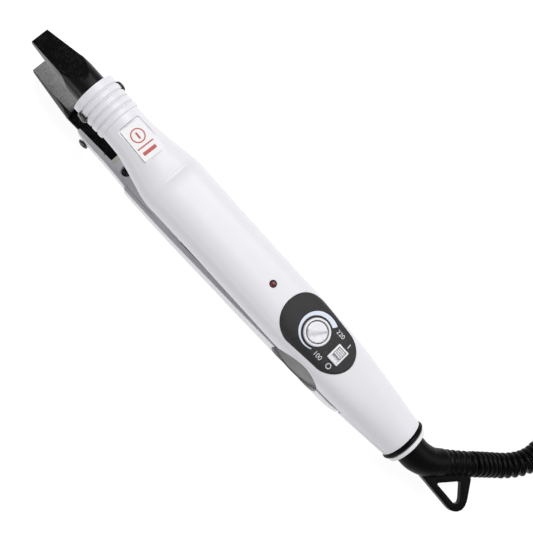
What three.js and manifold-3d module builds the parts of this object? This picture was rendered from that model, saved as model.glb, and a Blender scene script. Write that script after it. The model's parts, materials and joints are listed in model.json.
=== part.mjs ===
// Hand-held heat sealing tongs: a handle arm and a sprung lever arm that close two heated jaw bars,
// with a temperature knob, an on/off slide switch and a curly mains cord on a swivel elbow.
//
// Millimetres. The tongs lie on a table (z = 0) on the flat underside of the lever, jaws open.
// The origin is on the table below the hinge, +X points to the jaws and +Z up.
// Both arms are drawn in the "arm frame": X from the rear end of the handle to the jaw tips,
// Z across the jaws, as they lie when the jaws are shut. Two nested groups then tilt them.
import * as THREE from 'three';
import { mergeVertices } from 'three/addons/utils/BufferGeometryUtils.js';
import Module from 'manifold-3d';

const wasm = await Module();
wasm.setup();

// ---- driving dimensions -------------------------------------------------------------------
const GAP = 0.3;                 // clearance between neighbouring pieces
const PIVOT_X = 56, PIVOT_Z = 17.5;
const OPEN_ANGLE = 10.2;         // degrees between the arms at rest
const LEVER_SLOPE = 4.9;         // degrees between the lever's underside and its closed arm axis
const BODY_Z = 21.2;             // centre line of the handle and axis of the cord swivel
const SEAM_Z = 23.2;             // lower edge of the upper shell
const LIP_Z = 22.5;              // upper edge of the lever shell, in the arm frame
const SHELL_WALL = 1.8;
const LEVER_WALL = 1.6;
const TIP_X = 237, LOWER_TIP_X = 238.3;
const BAR_RADIUS = 7.6, BAR_Z = 27.6;
const SHANK_RADIUS = 5;          // thinner rear end of the upper bar, held in the neck
const SEAL_Z = 22.4;             // face of the upper jaw
const LOWER_BAR_Z = 2 * (SEAL_Z - GAP / 2) - BAR_Z;
const HEATER_RADIUS = 2.6, LOWER_BORE_Z = 13.3;
const COLLAR_FRONT = 204, COLLAR_RADIUS = 10.5;
const UPPER_SCREW_X = 198.4;
const LOWER_SCREW_X = 198, LOWER_SCREW_Z = 15.8, LOWER_SCREW_SEAT = 10.3;
const CAP_RADIUS = 13.3;         // round covers over the hinge
const CAP_IN = 11.4, CAP_OUT = 13.2;
const KNOB_X = 63.8, SWITCH_X = 50.4, LED_X = 92;
const REAR_RADIUS = 10.8;
const CORD_DIAMETER = 2.8, CURL_DIAMETER = 12.2;
const LEVER_REAR = 28.8, NOSE_X = 202.5;
const REAR_LIP = 17.4;           // lip height at the lever's rear end, which swings up as the jaws open
const BELOW_FLAT = 0.45;         // how far the lever's rounded form would bulge below its flat underside
const HOLDER_REAR = 132, HOLDER_FRONT = 185.4, HOLDER_TOP = LIP_Z - GAP;
const COVER_TOP = 24.6, COVER_LOW = SEAM_Z - GAP, COVER_FRONT = 156;
const BOSS_RADIUS = 6, BOSS_HALF = 9.4, PIN_RADIUS = 2.5;
const BOARD_LOW = 26.6, BOARD_TOP = 28.0;
const PANEL_SINK = 0.6, PANEL_PROUD = 0.35, PANEL_TOP = BODY_Z + 15.1 + PANEL_PROUD;
const PANEL_Y = -0.4;            // the panel sits a little to the right of the middle
const KNOB_HOLE = 6.6, SWITCH_HALF_X = 3.0, SWITCH_HALF_Y = 3.95, SWITCH_TRAVEL = 2.0;
const LABEL_Z = 35.0;
const ELBOW_END = [-33.6, -16.6, 18.6];  // where the cord leaves the elbow, in the handle's arm frame

const rad = THREE.MathUtils.degToRad;

// ---- solids -------------------------------------------------------------------------------
function toSolid(geometry) {
  const g = geometry.clone();
  g.deleteAttribute('normal');
  g.deleteAttribute('uv');
  const merged = mergeVertices(g, 1e-4);
  return new wasm.Manifold(new wasm.Mesh({
    numProp: 3,
    vertProperties: new Float32Array(merged.attributes.position.array),
    triVerts: new Uint32Array(merged.index.array),
  }));
}

function toGeometry(solid) {
  const mesh = solid.getMesh();
  const g = new THREE.BufferGeometry();
  g.setAttribute('position', new THREE.BufferAttribute(new Float32Array(mesh.vertProperties), 3));
  g.setIndex(new THREE.BufferAttribute(new Uint32Array(mesh.triVerts), 1));
  return g;
}

const join = (first, ...rest) => toGeometry(rest.reduce((s, g) => s.add(toSolid(g)), toSolid(first)));
const cut = (first, ...rest) => toGeometry(rest.reduce((s, g) => s.subtract(toSolid(g)), toSolid(first)));
const common = (first, second) => toGeometry(toSolid(first).intersect(toSolid(second)));

function box(x0, x1, y0, y1, z0, z1) {
  const g = new THREE.BoxGeometry(x1 - x0, y1 - y0, z1 - z0);
  return g.translate((x0 + x1) / 2, (y0 + y1) / 2, (z0 + z1) / 2);
}

const rodX = (r, x0, x1, y, z, sides = 24) =>
  new THREE.CylinderGeometry(r, r, x1 - x0, sides).rotateZ(Math.PI / 2).translate((x0 + x1) / 2, y, z);
const rodY = (r, y0, y1, x, z, sides = 24) =>
  new THREE.CylinderGeometry(r, r, y1 - y0, sides).translate(x, (y0 + y1) / 2, z);
const rodZ = (r, z0, z1, x, y, sides = 24) =>
  new THREE.CylinderGeometry(r, r, z1 - z0, sides).rotateX(Math.PI / 2).translate(x, y, (z0 + z1) / 2);

// Closed body through rings of points: each ring is a list of [x, y, z] with the same count.
function skin(rings) {
  const count = rings[0].length;
  const points = rings.flat(2);
  const index = [];
  for (let i = 0; i + 1 < rings.length; i += 1) {
    for (let j = 0; j < count; j += 1) {
      const k = (j + 1) % count;
      const a = i * count + j, b = i * count + k, c = a + count, d = b + count;
      index.push(a, c, b, b, c, d);
    }
  }
  for (const [ring, flip] of [[0, false], [rings.length - 1, true]]) {
    const centre = points.length / 3;
    for (let axis = 0; axis < 3; axis += 1) {
      points.push(rings[ring].reduce((sum, p) => sum + p[axis], 0) / count);
    }
    for (let j = 0; j < count; j += 1) {
      const a = ring * count + j, b = ring * count + (j + 1) % count;
      index.push(centre, flip ? b : a, flip ? a : b);
    }
  }
  const g = new THREE.BufferGeometry();
  g.setAttribute('position', new THREE.Float32BufferAttribute(points, 3));
  g.setIndex(index);
  return g;
}

// Superellipse ring: half width a, heights up and dn above and below zc, squareness n.
function ring({ x, zc, a, up, dn, n }, inset = 0, count = 28) {
  return Array.from({ length: count }, (_, i) => {
    const t = -2 * Math.PI * i / count;
    const c = Math.cos(t), s = Math.sin(t);
    const y = (a - inset) * Math.sign(c) * Math.abs(c) ** (2 / n);
    const z = (s > 0 ? up - inset : dn - inset) * Math.sign(s) * Math.abs(s) ** (2 / n);
    return [x, y, zc + z];
  });
}

// Stations are listed as rows of numbers under the given keys, and read by linear steps between.
const table = (keys, rows) => rows.map((row) => Object.fromEntries(keys.map((k, i) => [k, row[i]])));

function stationAt(stations, x) {
  const i = Math.max(1, stations.findIndex((s) => s.x >= x));
  const [p, q] = [stations[i - 1], stations[i]];
  const t = THREE.MathUtils.clamp((x - p.x) / (q.x - p.x), 0, 1);
  return Object.fromEntries(Object.keys(p).map((k) => [k, p[k] + (q[k] - p[k]) * t]));
}

function loft(stations, { from = -Infinity, to = Infinity, inset = 0, count = 28 } = {}) {
  const first = Math.max(from, stations[0].x), last = Math.min(to, stations.at(-1).x);
  const inner = stations.filter((s) => s.x > first + 0.05 && s.x < last - 0.05);
  const used = [stationAt(stations, first), ...inner, stationAt(stations, last)];
  return skin(used.map((s) => ring(s, inset, count)));
}

function prism(outline, axis, low, high) {
  const g = new THREE.ExtrudeGeometry(outline, { depth: high - low, bevelEnabled: false, curveSegments: 10 });
  g.translate(0, 0, low);
  if (axis === 'y') g.rotateX(Math.PI / 2).translate(0, low + high, 0);
  return g;
}

function path2d(points) {
  return new THREE.Shape(points.map(([u, v]) => new THREE.Vector2(u, v)));
}

function lathe(profile, sides = 32) {
  return new THREE.LatheGeometry(profile.map(([r, h]) => new THREE.Vector2(r, h)), sides);
}

function tube(points, radius, steps, sides = 8, closed = false) {
  const section = new THREE.Shape(Array.from({ length: sides }, (_, i) => new THREE.Vector2(
    radius * Math.cos(2 * Math.PI * i / sides), radius * Math.sin(2 * Math.PI * i / sides))));
  const route = new THREE.CatmullRomCurve3(points.map((p) => new THREE.Vector3(...p)), closed, 'centripetal');
  return new THREE.ExtrudeGeometry(section, { steps, bevelEnabled: false, extrudePath: route });
}

// ---- outer forms of the two arms ----------------------------------------------------------
const HANDLE_KEYS = ['x', 'zc', 'a', 'up', 'dn', 'n'];
const handleBody = table(HANDLE_KEYS, [
  [0, BODY_Z, REAR_RADIUS, 10.8, 10.8, 2],
  [8, BODY_Z, 11.6, 11.8, 11.4, 2.1],
  [18, BODY_Z, 12.5, 13.0, 12, 2.35],
  [28, BODY_Z, 13.2, 13.9, 12.6, 2.7],
  [40, BODY_Z, 13.9, 14.5, 13, 3.2],
  [56, BODY_Z, 14.3, 15.0, 13, 3.6],
  [80, BODY_Z, 14.6, 15.2, 13, 3.4],
  [110, BODY_Z, 14.6, 15.2, 13, 3.1],
  [148, BODY_Z, 14.7, 15.0, 13, 3.0],
  [152, BODY_Z, 14.9, 14.5, 13, 2.9],
  [155, BODY_Z + 0.3, 14.7, 13.4, 12.4, 2.7],
  [158, BODY_Z + 1.3, 14.2, 12.4, 12, 2.5],
  [163, BODY_Z + 3.0, 12.9, 11.1, 11.2, 2.3],
  [170, BODY_Z + 5.0, 11.4, 9.9, 10.4, 2.15],
  [178, BAR_Z, 10.1, 9.3, 9.9, 2.05],
  [186.6, BAR_Z, 9.7, 9.7, 9.7, 2],
]);
const RIB_COUNT = 5, RIB_PITCH = 3.35, RIB_LAND = 2.55, RIB_DEPTH = 0.75, RIB_EDGE = 0.25;
for (let i = 0; i < RIB_COUNT; i += 1) {
  const x = 187 + i * RIB_PITCH;
  const outer = { zc: BAR_Z, a: COLLAR_RADIUS, up: COLLAR_RADIUS, dn: COLLAR_RADIUS, n: 2 };
  const r = COLLAR_RADIUS - (i + 1 < RIB_COUNT ? RIB_DEPTH : 0);
  const groove = { zc: BAR_Z, a: r, up: r, dn: r, n: 2 };
  handleBody.push({ x: x + RIB_EDGE, ...outer }, { x: x + RIB_LAND, ...outer });
  if (i + 1 < RIB_COUNT) {
    handleBody.push({ x: x + RIB_LAND + RIB_EDGE, ...groove }, { x: x + RIB_PITCH, ...groove });
  }
}
const collarEnd = handleBody.at(-1);
handleBody.push({ ...collarEnd, x: COLLAR_FRONT, a: collarEnd.a - 0.5, up: collarEnd.up - 0.5 });

const leverBottom = (x) => -3.0 + (x - PIVOT_X) * Math.tan(rad(LEVER_SLOPE));
const PIVOT_HEIGHT = (PIVOT_Z - leverBottom(PIVOT_X)) * Math.cos(rad(LEVER_SLOPE));
const leverBody = [
  [LEVER_REAR, 13.2, 3.6], [31.5, 13.8, 1.2], [36, 14.3, 0.2], [56, 14.6, 0], [90, 14.6, 0], [110, 14.4, 0],
  [140, 14.1, 0], [154, 13.7, 0], [167.4, 13.1, 0], [168.2, 12.2, 0], [181, 10.9, 0], [192, 10.4, 0],
  [198, 10.1, 0.4], [201, 9.8, 1.6], [NOSE_X, 9.3, 3.2],
].map(([x, a, lift]) => ({
  x, a, zc: LIP_Z - GAP, up: 2, dn: LIP_Z - GAP - leverBottom(x) + BELOW_FLAT - lift, n: 3.2,
}));

const above = (z) => box(-50, 300, -60, 60, z, z + 80);
const below = (z) => box(-50, 300, -60, 60, z - 80, z);

// Notches in both arms round the covers of the hinge.
const capNotches = () => [-1, 1].map((side) =>
  rodY(CAP_RADIUS + 0.45, side * 15.5 - 4.5, side * 15.5 + 4.5, PIVOT_X, PIVOT_Z, 32));

// ---- handle arm ---------------------------------------------------------------------------
const PANEL = { front: 82.2, rear: 42.3, wide: 12.2, narrow: 10.8, wideX: 69.5, narrowX: 53.5 };

function panelOutline(grow = 0) {
  const { front, rear, wide, narrow, wideX, narrowX } = PANEL;
  const s = new THREE.Shape();
  s.moveTo(wideX, PANEL_Y - wide - grow);
  s.bezierCurveTo(wideX + 7.4, PANEL_Y - wide - grow, front + grow, PANEL_Y - 7.6, front + grow, PANEL_Y);
  s.bezierCurveTo(front + grow, PANEL_Y + 7.6, wideX + 7.4, PANEL_Y + wide + grow, wideX, PANEL_Y + wide + grow);
  s.lineTo(narrowX, PANEL_Y + narrow + grow);
  s.bezierCurveTo(narrowX - 5.6, PANEL_Y + narrow + grow, rear - grow, PANEL_Y + 5.8, rear - grow, PANEL_Y);
  s.bezierCurveTo(rear - grow, PANEL_Y - 5.8, narrowX - 5.6, PANEL_Y - narrow - grow, narrowX, PANEL_Y - narrow - grow);
  s.closePath();
  return s;
}

function upperShell() {
  const cavity = join(
    loft(handleBody, { from: 2.2, to: 160, inset: SHELL_WALL }),
    rodX(SHANK_RADIUS + 1.2, 156, 190, 0, BAR_Z, 24),
    rodX(BAR_RADIUS + 1.4, 185.6, COLLAR_FRONT + 1, 0, BAR_Z, 28),
  );
  const labelPad = box(165.2, 183.4, -5.5, 5.5, LABEL_Z, 40);
  return cut(
    common(loft(handleBody), above(SEAM_Z)),
    cavity,
    rodX(5.2, -1, 3, 0, BODY_Z),
    ...capNotches(),
    cut(prism(panelOutline(GAP), 'z', 28, 40), loft(handleBody, { inset: PANEL_SINK + GAP })),
    rodZ(KNOB_HOLE, 28, 40, KNOB_X, 0),
    box(SWITCH_X - 3.4, SWITCH_X + 3.4, -4.4, 4.4, 28, 40),
    rodZ(1.9, 30, 40, LED_X, 0),
    labelPad,
    ...[-1, 1].map((side) => rodY(1.6, side * 9 - 3, side * 9 + 3, UPPER_SCREW_X, BAR_Z, 12)),
  );
}

// Plate that closes the handle from below, its rounded rear lower half and the hinge boss.
function lowerCover() {
  const plateForm = loft(handleBody, { from: 29, to: COVER_FRONT, inset: SHELL_WALL + GAP });
  const plate = common(plateForm, box(29, COVER_FRONT, -20, 20, COVER_LOW, COVER_TOP));
  const capNotch = [-1, 1].map((side) => box(40, 72, side * 14.7 - 5.3, side * 14.7 + 5.3, 0, 40));
  const swingPath = path2d([[24.2, 0], [28.6, COVER_LOW + 1], [40, COVER_LOW + 1], [40, 0]]);
  const swingClearance = prism(swingPath, 'y', -30, 30);
  const rearOuter = cut(common(loft(handleBody, { to: 28 }), below(COVER_LOW)), swingClearance);
  const rearHollow = loft(handleBody, { from: 2.2, to: 22.6, inset: SHELL_WALL });
  const bridge = join(box(23.5, 28, -8, 8, COVER_LOW - 1, COVER_TOP), box(27, 34, -8, 8, COVER_LOW, COVER_TOP));
  const body = join(
    cut(plate, ...capNotch),
    cut(rearOuter, rearHollow, rodX(5.2, -1, 3, 0, BODY_Z)),
    bridge,
    rodY(BOSS_RADIUS, -BOSS_HALF, BOSS_HALF, PIVOT_X, PIVOT_Z, 24),
    box(PIVOT_X - 4, PIVOT_X + 4, -BOSS_HALF, BOSS_HALF, PIVOT_Z, COVER_TOP),
  );
  return cut(body, rodY(PIN_RADIUS + GAP, -12, 12, PIVOT_X, PIVOT_Z, 20), box(46, 90, -4.6, 4.6, 5, 26));
}

function controlPanel() {
  const plate = cut(
    common(prism(panelOutline(), 'z', 28, 42), loft(handleBody, { inset: -PANEL_PROUD })),
    loft(handleBody, { inset: PANEL_SINK }),
  );
  return cut(plate, rodZ(6.5 + GAP, 28, 42, KNOB_X, 0, 32),
    box(SWITCH_X - SWITCH_HALF_X - GAP, SWITCH_X + SWITCH_HALF_X + GAP,
      -SWITCH_HALF_Y - GAP, SWITCH_HALF_Y + GAP, 28, 42));
}

function knobBezel() {
  return lathe([[5.2, -1.6], [6.3, -1.6], [6.3, 0.5], [5.9, 0.8], [5.2, 0.6], [5.2, -1.6]], 36)
    .rotateX(Math.PI / 2).translate(KNOB_X, 0, PANEL_TOP);
}

function temperatureKnob() {
  const body = lathe([[0, -2.6], [1.6, -2.6], [1.6, -1.2], [4.8, -1.2], [4.8, 0.9], [4.5, 1.2], [0, 1.2]], 36)
    .rotateX(Math.PI / 2);
  const pointer = prism(path2d([[-4.3, -1.5], [4.3, -0.5], [4.3, 0.5], [-4.3, 1.5]]), 'z', 1.0, 2.1);
  return join(body, pointer.rotateZ(rad(-130))).translate(KNOB_X, 0, PANEL_TOP);
}

function switchBezel() {
  const [x, y] = [SWITCH_HALF_X, SWITCH_HALF_Y];
  return cut(box(-x, x, -y, y, -1.6, 0.6), box(-x + 0.8, x - 0.8, -y + 0.8, y - 0.8, -3, 3))
    .translate(SWITCH_X, 0, PANEL_TOP);
}

function switchSlider() {
  const reach = SWITCH_HALF_X - 0.8 - GAP;
  const ribs = [-1.2, -0.4, 0.4, 1.2].map((y) => box(-reach, reach, y - 0.22, y + 0.22, 0.3, 0.9));
  return join(box(-reach, reach, -1.7, 1.7, -2.2, 0.4), ...ribs)
    .translate(SWITCH_X, -SWITCH_TRAVEL / 2, PANEL_TOP);
}

function ledLens() {
  const z = PANEL_TOP - 0.5;
  return lathe([[0, -6.5], [1.5, -6.5], [1.5, 0.1], [1.25, 0.65], [0.7, 1.0], [0, 1.1]], 16)
    .rotateX(Math.PI / 2).translate(LED_X, 0, z);
}

const circuitBoard = () => join(
  box(78, 142, -9.2, 9.2, BOARD_LOW, BOARD_TOP),
  box(44, 80, -8.8, 8.8, BOARD_LOW, BOARD_TOP),
  box(120, 130, -5, 5, BOARD_TOP - 0.2, 31.5),
  rodZ(3.2, BOARD_TOP - 0.2, 32.5, 108, 4, 16),
);

function potentiometer() {
  return join(rodZ(4.9, BOARD_TOP + GAP, 31.6, KNOB_X, 0), rodZ(1.1, 31, PANEL_TOP - 2.9, KNOB_X, 0, 12));
}

const switchBody = () => box(SWITCH_X - 3.6, SWITCH_X + 3.6, -4.6, 4.6, BOARD_TOP + GAP, PANEL_TOP - 2.9);

// Plan of a jaw bar: full width at the rear, narrowing to the tip.
function jawPlan(rear, tip) {
  const left = [[rear, 9], [207, 9], [212, 7.4], [219, 5.9], [tip + 1, 4.2]];
  return path2d([...left, ...left.map(([x, y]) => [x, -y]).reverse()]);
}

// The bar is round in the collar. Ahead of it, it is milled flat below and sloped above.
function upperJawBar() {
  const slope = path2d([[208.5, BAR_Z + BAR_RADIUS], [TIP_X + 1, SEAL_Z + 2.4], [TIP_X + 1, 50], [208.5, 50]]);
  const round = join(rodX(SHANK_RADIUS, 164, 188, 0, BAR_Z, 24), rodX(BAR_RADIUS, 186.6, TIP_X, 0, BAR_Z, 32));
  const milled = common(round, prism(jawPlan(150, TIP_X), 'z', 0, 60));
  return cut(milled,
    prism(slope, 'y', -20, 20),
    box(COLLAR_FRONT + 1, TIP_X + 5, -20, 20, 0, SEAL_Z),
    rodX(HEATER_RADIUS + GAP, 150, 215, 0, BAR_Z, 16),
    ...[-1, 1].map((side) => rodY(1.5, side * 7.6 - 2, side * 7.6 + 2, UPPER_SCREW_X, BAR_Z, 12)));
}

const micaSleeve = () => cut(
  rodX(BAR_RADIUS + 1.1, 189, 202.5, 0, BAR_Z, 24),
  rodX(BAR_RADIUS + GAP, 180, 210, 0, BAR_Z, 24),
  box(180, 210, -20, 20, 0, SEAM_Z + 1),
  rodY(1.6, -12, 12, UPPER_SCREW_X, BAR_Z, 12),
);

// Domed slotted screw head facing +Y or -Y.
function sideScrew(x, z, side, seat, depth) {
  const dome = [[2.7, 0], [2.6, 0.5], [1.9, 0.95], [0.9, 1.2], [0, 1.25]];
  const head = lathe([[0, -depth], [1.1, -depth], [1.1, 0], ...dome], 20);
  const body = cut(head, box(-3, 3, 0.75, 3, -0.35, 0.35));
  if (side < 0) body.rotateX(Math.PI);
  return body.rotateY(0.5).translate(x, side * seat, z);
}

const rearORing = () =>
  new THREE.TorusGeometry(10.35, 1.1, 8, 24).rotateY(Math.PI / 2).translate(-1.4, 0, BODY_Z);

function returnSpring() {
  const turns = 3.5, radius = 7.3, wire = 0.6, perTurn = 10;
  const points = [[PIVOT_X + 22, -3.4, PIVOT_Z + 2.3], [PIVOT_X + 9, -3.4, PIVOT_Z + 2.2]];
  for (let i = 2; i <= turns * perTurn; i += 1) {
    const t = Math.PI / 2 - 2 * Math.PI * i / perTurn;
    const y = -3.4 + 6.8 * i / (turns * perTurn);
    points.push([PIVOT_X + radius * Math.cos(t), y, PIVOT_Z + radius * Math.sin(t)]);
  }
  return tube(points, wire, 46, 5);
}

const upperLead = () => tube([[162.5, 0, BAR_Z], [154, 2, 28.8], [148, 3, 29.4], [143.8, 4, 29.2]], 1.2, 6);
const mainsLead = () => tube(
  [[15.5, 0, 21.8], [18.6, 0.8, 25.6], [26, 2, 29.0], [34, 2.6, 30.4], [43, 3, 30.6]], 1.4, 8);
const labelPlate = () => box(166.2, 182.4, -5.0, 5.0, LABEL_Z + GAP, LABEL_Z + GAP + 0.3);

// ---- lever arm ----------------------------------------------------------------------------
const slopeCut = () => {
  const [x0, x1] = [LEVER_REAR - 10, NOSE_X + 10];
  return prism(path2d([[x0, leverBottom(x0)], [x1, leverBottom(x1)], [x1, -60], [x0, -60]]), 'y', -40, 40);
};

function leverShell() {
  const outer = loft(leverBody);
  const reliefPath = path2d([[20, REAR_LIP - 1.6], [PIVOT_X, LIP_Z - GAP], [PIVOT_X, 40], [20, 40]]);
  const rearRelief = prism(reliefPath, 'y', -40, 40);
  const hollow = loft(leverBody, { from: LEVER_REAR + 2, to: 186, inset: LEVER_WALL });
  return cut(common(outer, below(LIP_Z - GAP)),
    slopeCut(), rearRelief, hollow,
    common(hollow.clone().translate(0, 0, 3), above(10)),
    rodX(BAR_RADIUS + GAP, 179, NOSE_X + 5, 0, LOWER_BAR_Z, 28),
    box(179, NOSE_X + 5, -BAR_RADIUS - GAP, BAR_RADIUS + GAP, LOWER_BAR_Z, 40),
    ...capNotches(),
    ...[-1, 1].map((side) => rodY(1.6, side * 9 - 3, side * 9 + 3, LOWER_SCREW_X, LOWER_SCREW_Z, 12)),
  );
}

function leverInnerCover() {
  const form = loft(leverBody, { from: HOLDER_REAR, to: HOLDER_FRONT, inset: LEVER_WALL + GAP });
  const slab = common(form, box(HOLDER_REAR, HOLDER_FRONT, -20, 20, HOLDER_TOP - 5, HOLDER_TOP));
  const seat = common(form, box(154, HOLDER_FRONT, -20, 20, 4, HOLDER_TOP));
  return cut(join(slab, seat),
    rodX(BAR_RADIUS + GAP, 179.3, 190, 0, LOWER_BAR_Z, 28),
    box(179.3, 190, -BAR_RADIUS - GAP, BAR_RADIUS + GAP, LOWER_BAR_Z, 40),
    box(150, 181, -3, 3, 0, LOWER_BAR_Z - 1),
    ...[-1, 1].map((side) => rodZ(2.7, HOLDER_TOP - 1.6, 40, 173, side * 6.4, 16)),
    ...[-1, 1].map((side) => rodZ(1.3, HOLDER_TOP - 9, 40, 173, side * 6.4, 10)),
  );
}

function holderScrew(side) {
  const head = lathe([[0, -7], [1.0, -7], [1.0, 0], [2.3, 0], [2.2, 0.5], [1.2, 0.95], [0, 1.1]], 16);
  return head.rotateX(Math.PI / 2).translate(173, side * 6.4, HOLDER_TOP - 1.3);
}

function leverLiner() {
  const outer = loft(leverBody, { from: 76, to: HOLDER_REAR - GAP, inset: LEVER_WALL + GAP });
  const inner = loft(leverBody, { from: 70, to: HOLDER_REAR + 3, inset: LEVER_WALL + GAP + 1 });
  return cut(common(outer, below(17)), inner, common(inner.clone().translate(0, 0, 3), above(6)));
}

// Steel plate that carries the lever on the pin: a round eye and a foot inside the lever.
function hingePlate(side) {
  const eye = rodY(8.6, -0.6, 0.6, PIVOT_X, PIVOT_Z, 24);
  const foot = prism(path2d([
    [PIVOT_X - 7, PIVOT_Z], [PIVOT_X - 6, 7.5], [PIVOT_X + 16, 7.5], [PIVOT_X + 16, 11], [PIVOT_X + 7, PIVOT_Z - 1],
  ]), 'y', -0.6, 0.6);
  return cut(join(eye, foot), rodY(PIN_RADIUS + GAP, -3, 3, PIVOT_X, PIVOT_Z)).translate(0, side * 10.4, 0);
}

function pivotCap(side) {
  const depth = CAP_OUT - CAP_IN;
  const disc = lathe([[0, 0], [CAP_RADIUS, 0], [CAP_RADIUS, depth - 0.5], [CAP_RADIUS - 0.5, depth],
    [CAP_RADIUS - 2, depth], [CAP_RADIUS - 2.3, depth - 0.3], [0, depth - 0.3]], 32);
  if (side < 0) disc.rotateX(Math.PI);
  return disc.translate(PIVOT_X, side * CAP_IN, PIVOT_Z);
}

function lowerJawBar() {
  const round = rodX(BAR_RADIUS, 183.2, LOWER_TIP_X, 0, LOWER_BAR_Z, 32);
  const tip = LOWER_TIP_X + 1;
  const under = path2d([[212, LOWER_BAR_Z - BAR_RADIUS], [tip, SEAL_Z - 2.6], [tip, -20], [212, -20]]);
  return cut(common(round, prism(jawPlan(180, LOWER_TIP_X), 'z', -20, 60)),
    prism(under, 'y', -20, 20),
    box(150, LOWER_TIP_X + 5, -20, 20, SEAL_Z - GAP, 60),
    box(150, 211, -20, 20, 17.6, 60),
    rodX(HEATER_RADIUS, 150, 208, 0, LOWER_BORE_Z, 20),
    ...[-1, 1].map((side) => rodY(1.5, side * 7.6 - 1.6, side * 7.6 + 1.6, LOWER_SCREW_X, LOWER_SCREW_Z, 12)));
}

const ceramicBush = () => cut(
  common(rodX(BAR_RADIUS - 0.2, 180.4, 182.8, 0, LOWER_BAR_Z, 24), below(LOWER_BAR_Z + 0.8)),
  rodX(1.7, 175, 190, 0, LOWER_BORE_Z, 12));
const lowerLead = () => tube(
  [[178.6, 0, LOWER_BORE_Z], [160, 0, 12.4], [130, 0, 10.5], [100, 0, 9], [76, 0, 8.4]], 1.2, 16);

// ---- swivel, elbow and cord ---------------------------------------------------------------
// White collar with the barrel that turns in the rear end of the handle.
const swivelCollar = () => lathe([
  [1.9, -14], [4.6, -14], [4.6, -3.6], [7.0, -3.6], [7.0, -2.6], [4.6, -2.6], [4.6, 2.9], [10.4, 2.9],
  [10.4, 4.5], [9.9, 4.9], [1.9, 4.9], [1.9, -14],
], 28).rotateZ(Math.PI / 2).translate(0, 0, BODY_Z);

function elbow() {
  const bend = new THREE.CatmullRomCurve3([
    [-5.2, 0, BODY_Z], [-11, 0, BODY_Z], [-17.2, -2.2, 20.9], [-23, -7.2, 20.2], ELBOW_END,
  ].map((p) => new THREE.Vector3(...p)), false, 'centripetal');
  const radii = [7.7, 7.6, 7.2, 6.5, 6.1, 5.95, 5.9];
  const steps = 24, count = 16;
  const ribs = 5, ribFrom = 0.56;
  const frames = bend.computeFrenetFrames(steps, false);
  const side = new THREE.Vector3(0, 1, 0);
  const rings = Array.from({ length: steps + 1 }, (_, i) => {
    const t = i / steps;
    const u = t * (radii.length - 1), k = Math.min(Math.floor(u), radii.length - 2);
    const along = (t - ribFrom) / (1 - ribFrom) * ribs;
    const rib = along > 0 ? 0.45 * (Math.cos(2 * Math.PI * along) - 1) * 0.5 : 0;
    const r = THREE.MathUtils.lerp(radii[k], radii[k + 1], u - k) + rib;
    const centre = bend.getPointAt(t), tangent = frames.tangents[i];
    const up = new THREE.Vector3().crossVectors(tangent, side).normalize();
    const out = new THREE.Vector3().crossVectors(up, tangent);
    return Array.from({ length: count }, (_, j) => {
      const a = 2 * Math.PI * j / count;
      const p = centre.clone().addScaledVector(up, -r * Math.cos(a)).addScaledVector(out, -r * Math.sin(a));
      return p.toArray();
    });
  });
  return join(skin(rings), hangLoop());
}

function hangLoop() {
  const outline = new THREE.Shape();
  outline.moveTo(-14, 4.6);
  outline.lineTo(-39.6, 5.6);
  outline.bezierCurveTo(-42.8, 5.4, -44.8, 2.4, -44.2, -0.8);
  outline.lineTo(-43.2, -3.4);
  outline.lineTo(-37.4, -12.2);
  outline.lineTo(-32.6, -12.6);
  outline.lineTo(-20, -4);
  outline.closePath();
  outline.holes.push(new THREE.Path([[-27.1, 1.8], [-39.5, 2.1], [-40.7, 0.6], [-40.2, -1.0], [-35.0, -7.2]]
    .map(([x, y]) => new THREE.Vector2(x, y))));
  return new THREE.ExtrudeGeometry(outline, { depth: 3.2, bevelEnabled: false, curveSegments: 5 })
    .translate(0, 0, 18.2);
}

// Curly stretch on the table, as one tube of its outer diameter.
const CURL_ROUTE = [
  [-90.3, -17.5, 12.9], [-94.5, -21.4, 10.6], [-99, -25.6, 8.0], [-103.6, -29.8, 6.6],
  [-107.8, -34.6, 6.4], [-110.7, -39.4, 6.4], [-112.4, -44.4, 6.4], [-113, -52, 6.4],
  [-112.4, -59.6, 6.4], [-117.4, -68, 6.4], [-126, -74.4, 6.4], [-137.5, -77, 6.4], [-149, -75.4, 6.4],
  [-159.4, -69.4, 6.4], [-166, -60.4, 6.4], [-168.5, -50, 6.4], [-168.6, -38, 6.4],
  [-168.5, -25, 6.4], [-168.5, -12, 6.4],
];
const TAIL_ROUTE = [
  [-168.5, -11.6, 6.4], [-168.5, -6, 5.6], [-169, 0, 3.4], [-171, 6.4, 1.8], [-176, 11.6, 1.6],
  [-182.4, 12.2, 1.6], [-188, 8.6, 1.6], [-191.4, 2.6, 2.2], [-192.4, -4, 4.2], [-192.5, -9, 6.2],
  [-192.5, -13.6, 7.2],
];
const PLUG = { x: -192.5, y: -14, z: 7.2, length: 34, wide: 13, high: 7.0 };

const curlyCord = () => tube(CURL_ROUTE, CURL_DIAMETER / 2, 28, 10);
const cordTail = () => tube(TAIL_ROUTE, CORD_DIAMETER / 2, 16, 8);

// Two-pin plug lying flat: the body tapers to the cord.
function plugBody() {
  const { length, wide, high } = PLUG;
  const rows = [[0, 2.6, 2.6, 2], [6, 3.2, 3.2, 2], [10, 6.5, 5.4, 2.4], [16, 10.2, 6.6, 3],
    [24, 12.2, high, 3.4], [length - 1, wide, high, 3.6], [length, wide - 0.8, high - 0.8, 3.6]];
  return skin(rows.map(([x, a, up, n]) => ring({ x, zc: 0, a, up, dn: up, n }, 0, 20)))
    .rotateZ(-Math.PI / 2).translate(PLUG.x, PLUG.y - GAP, PLUG.z);
}

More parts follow.
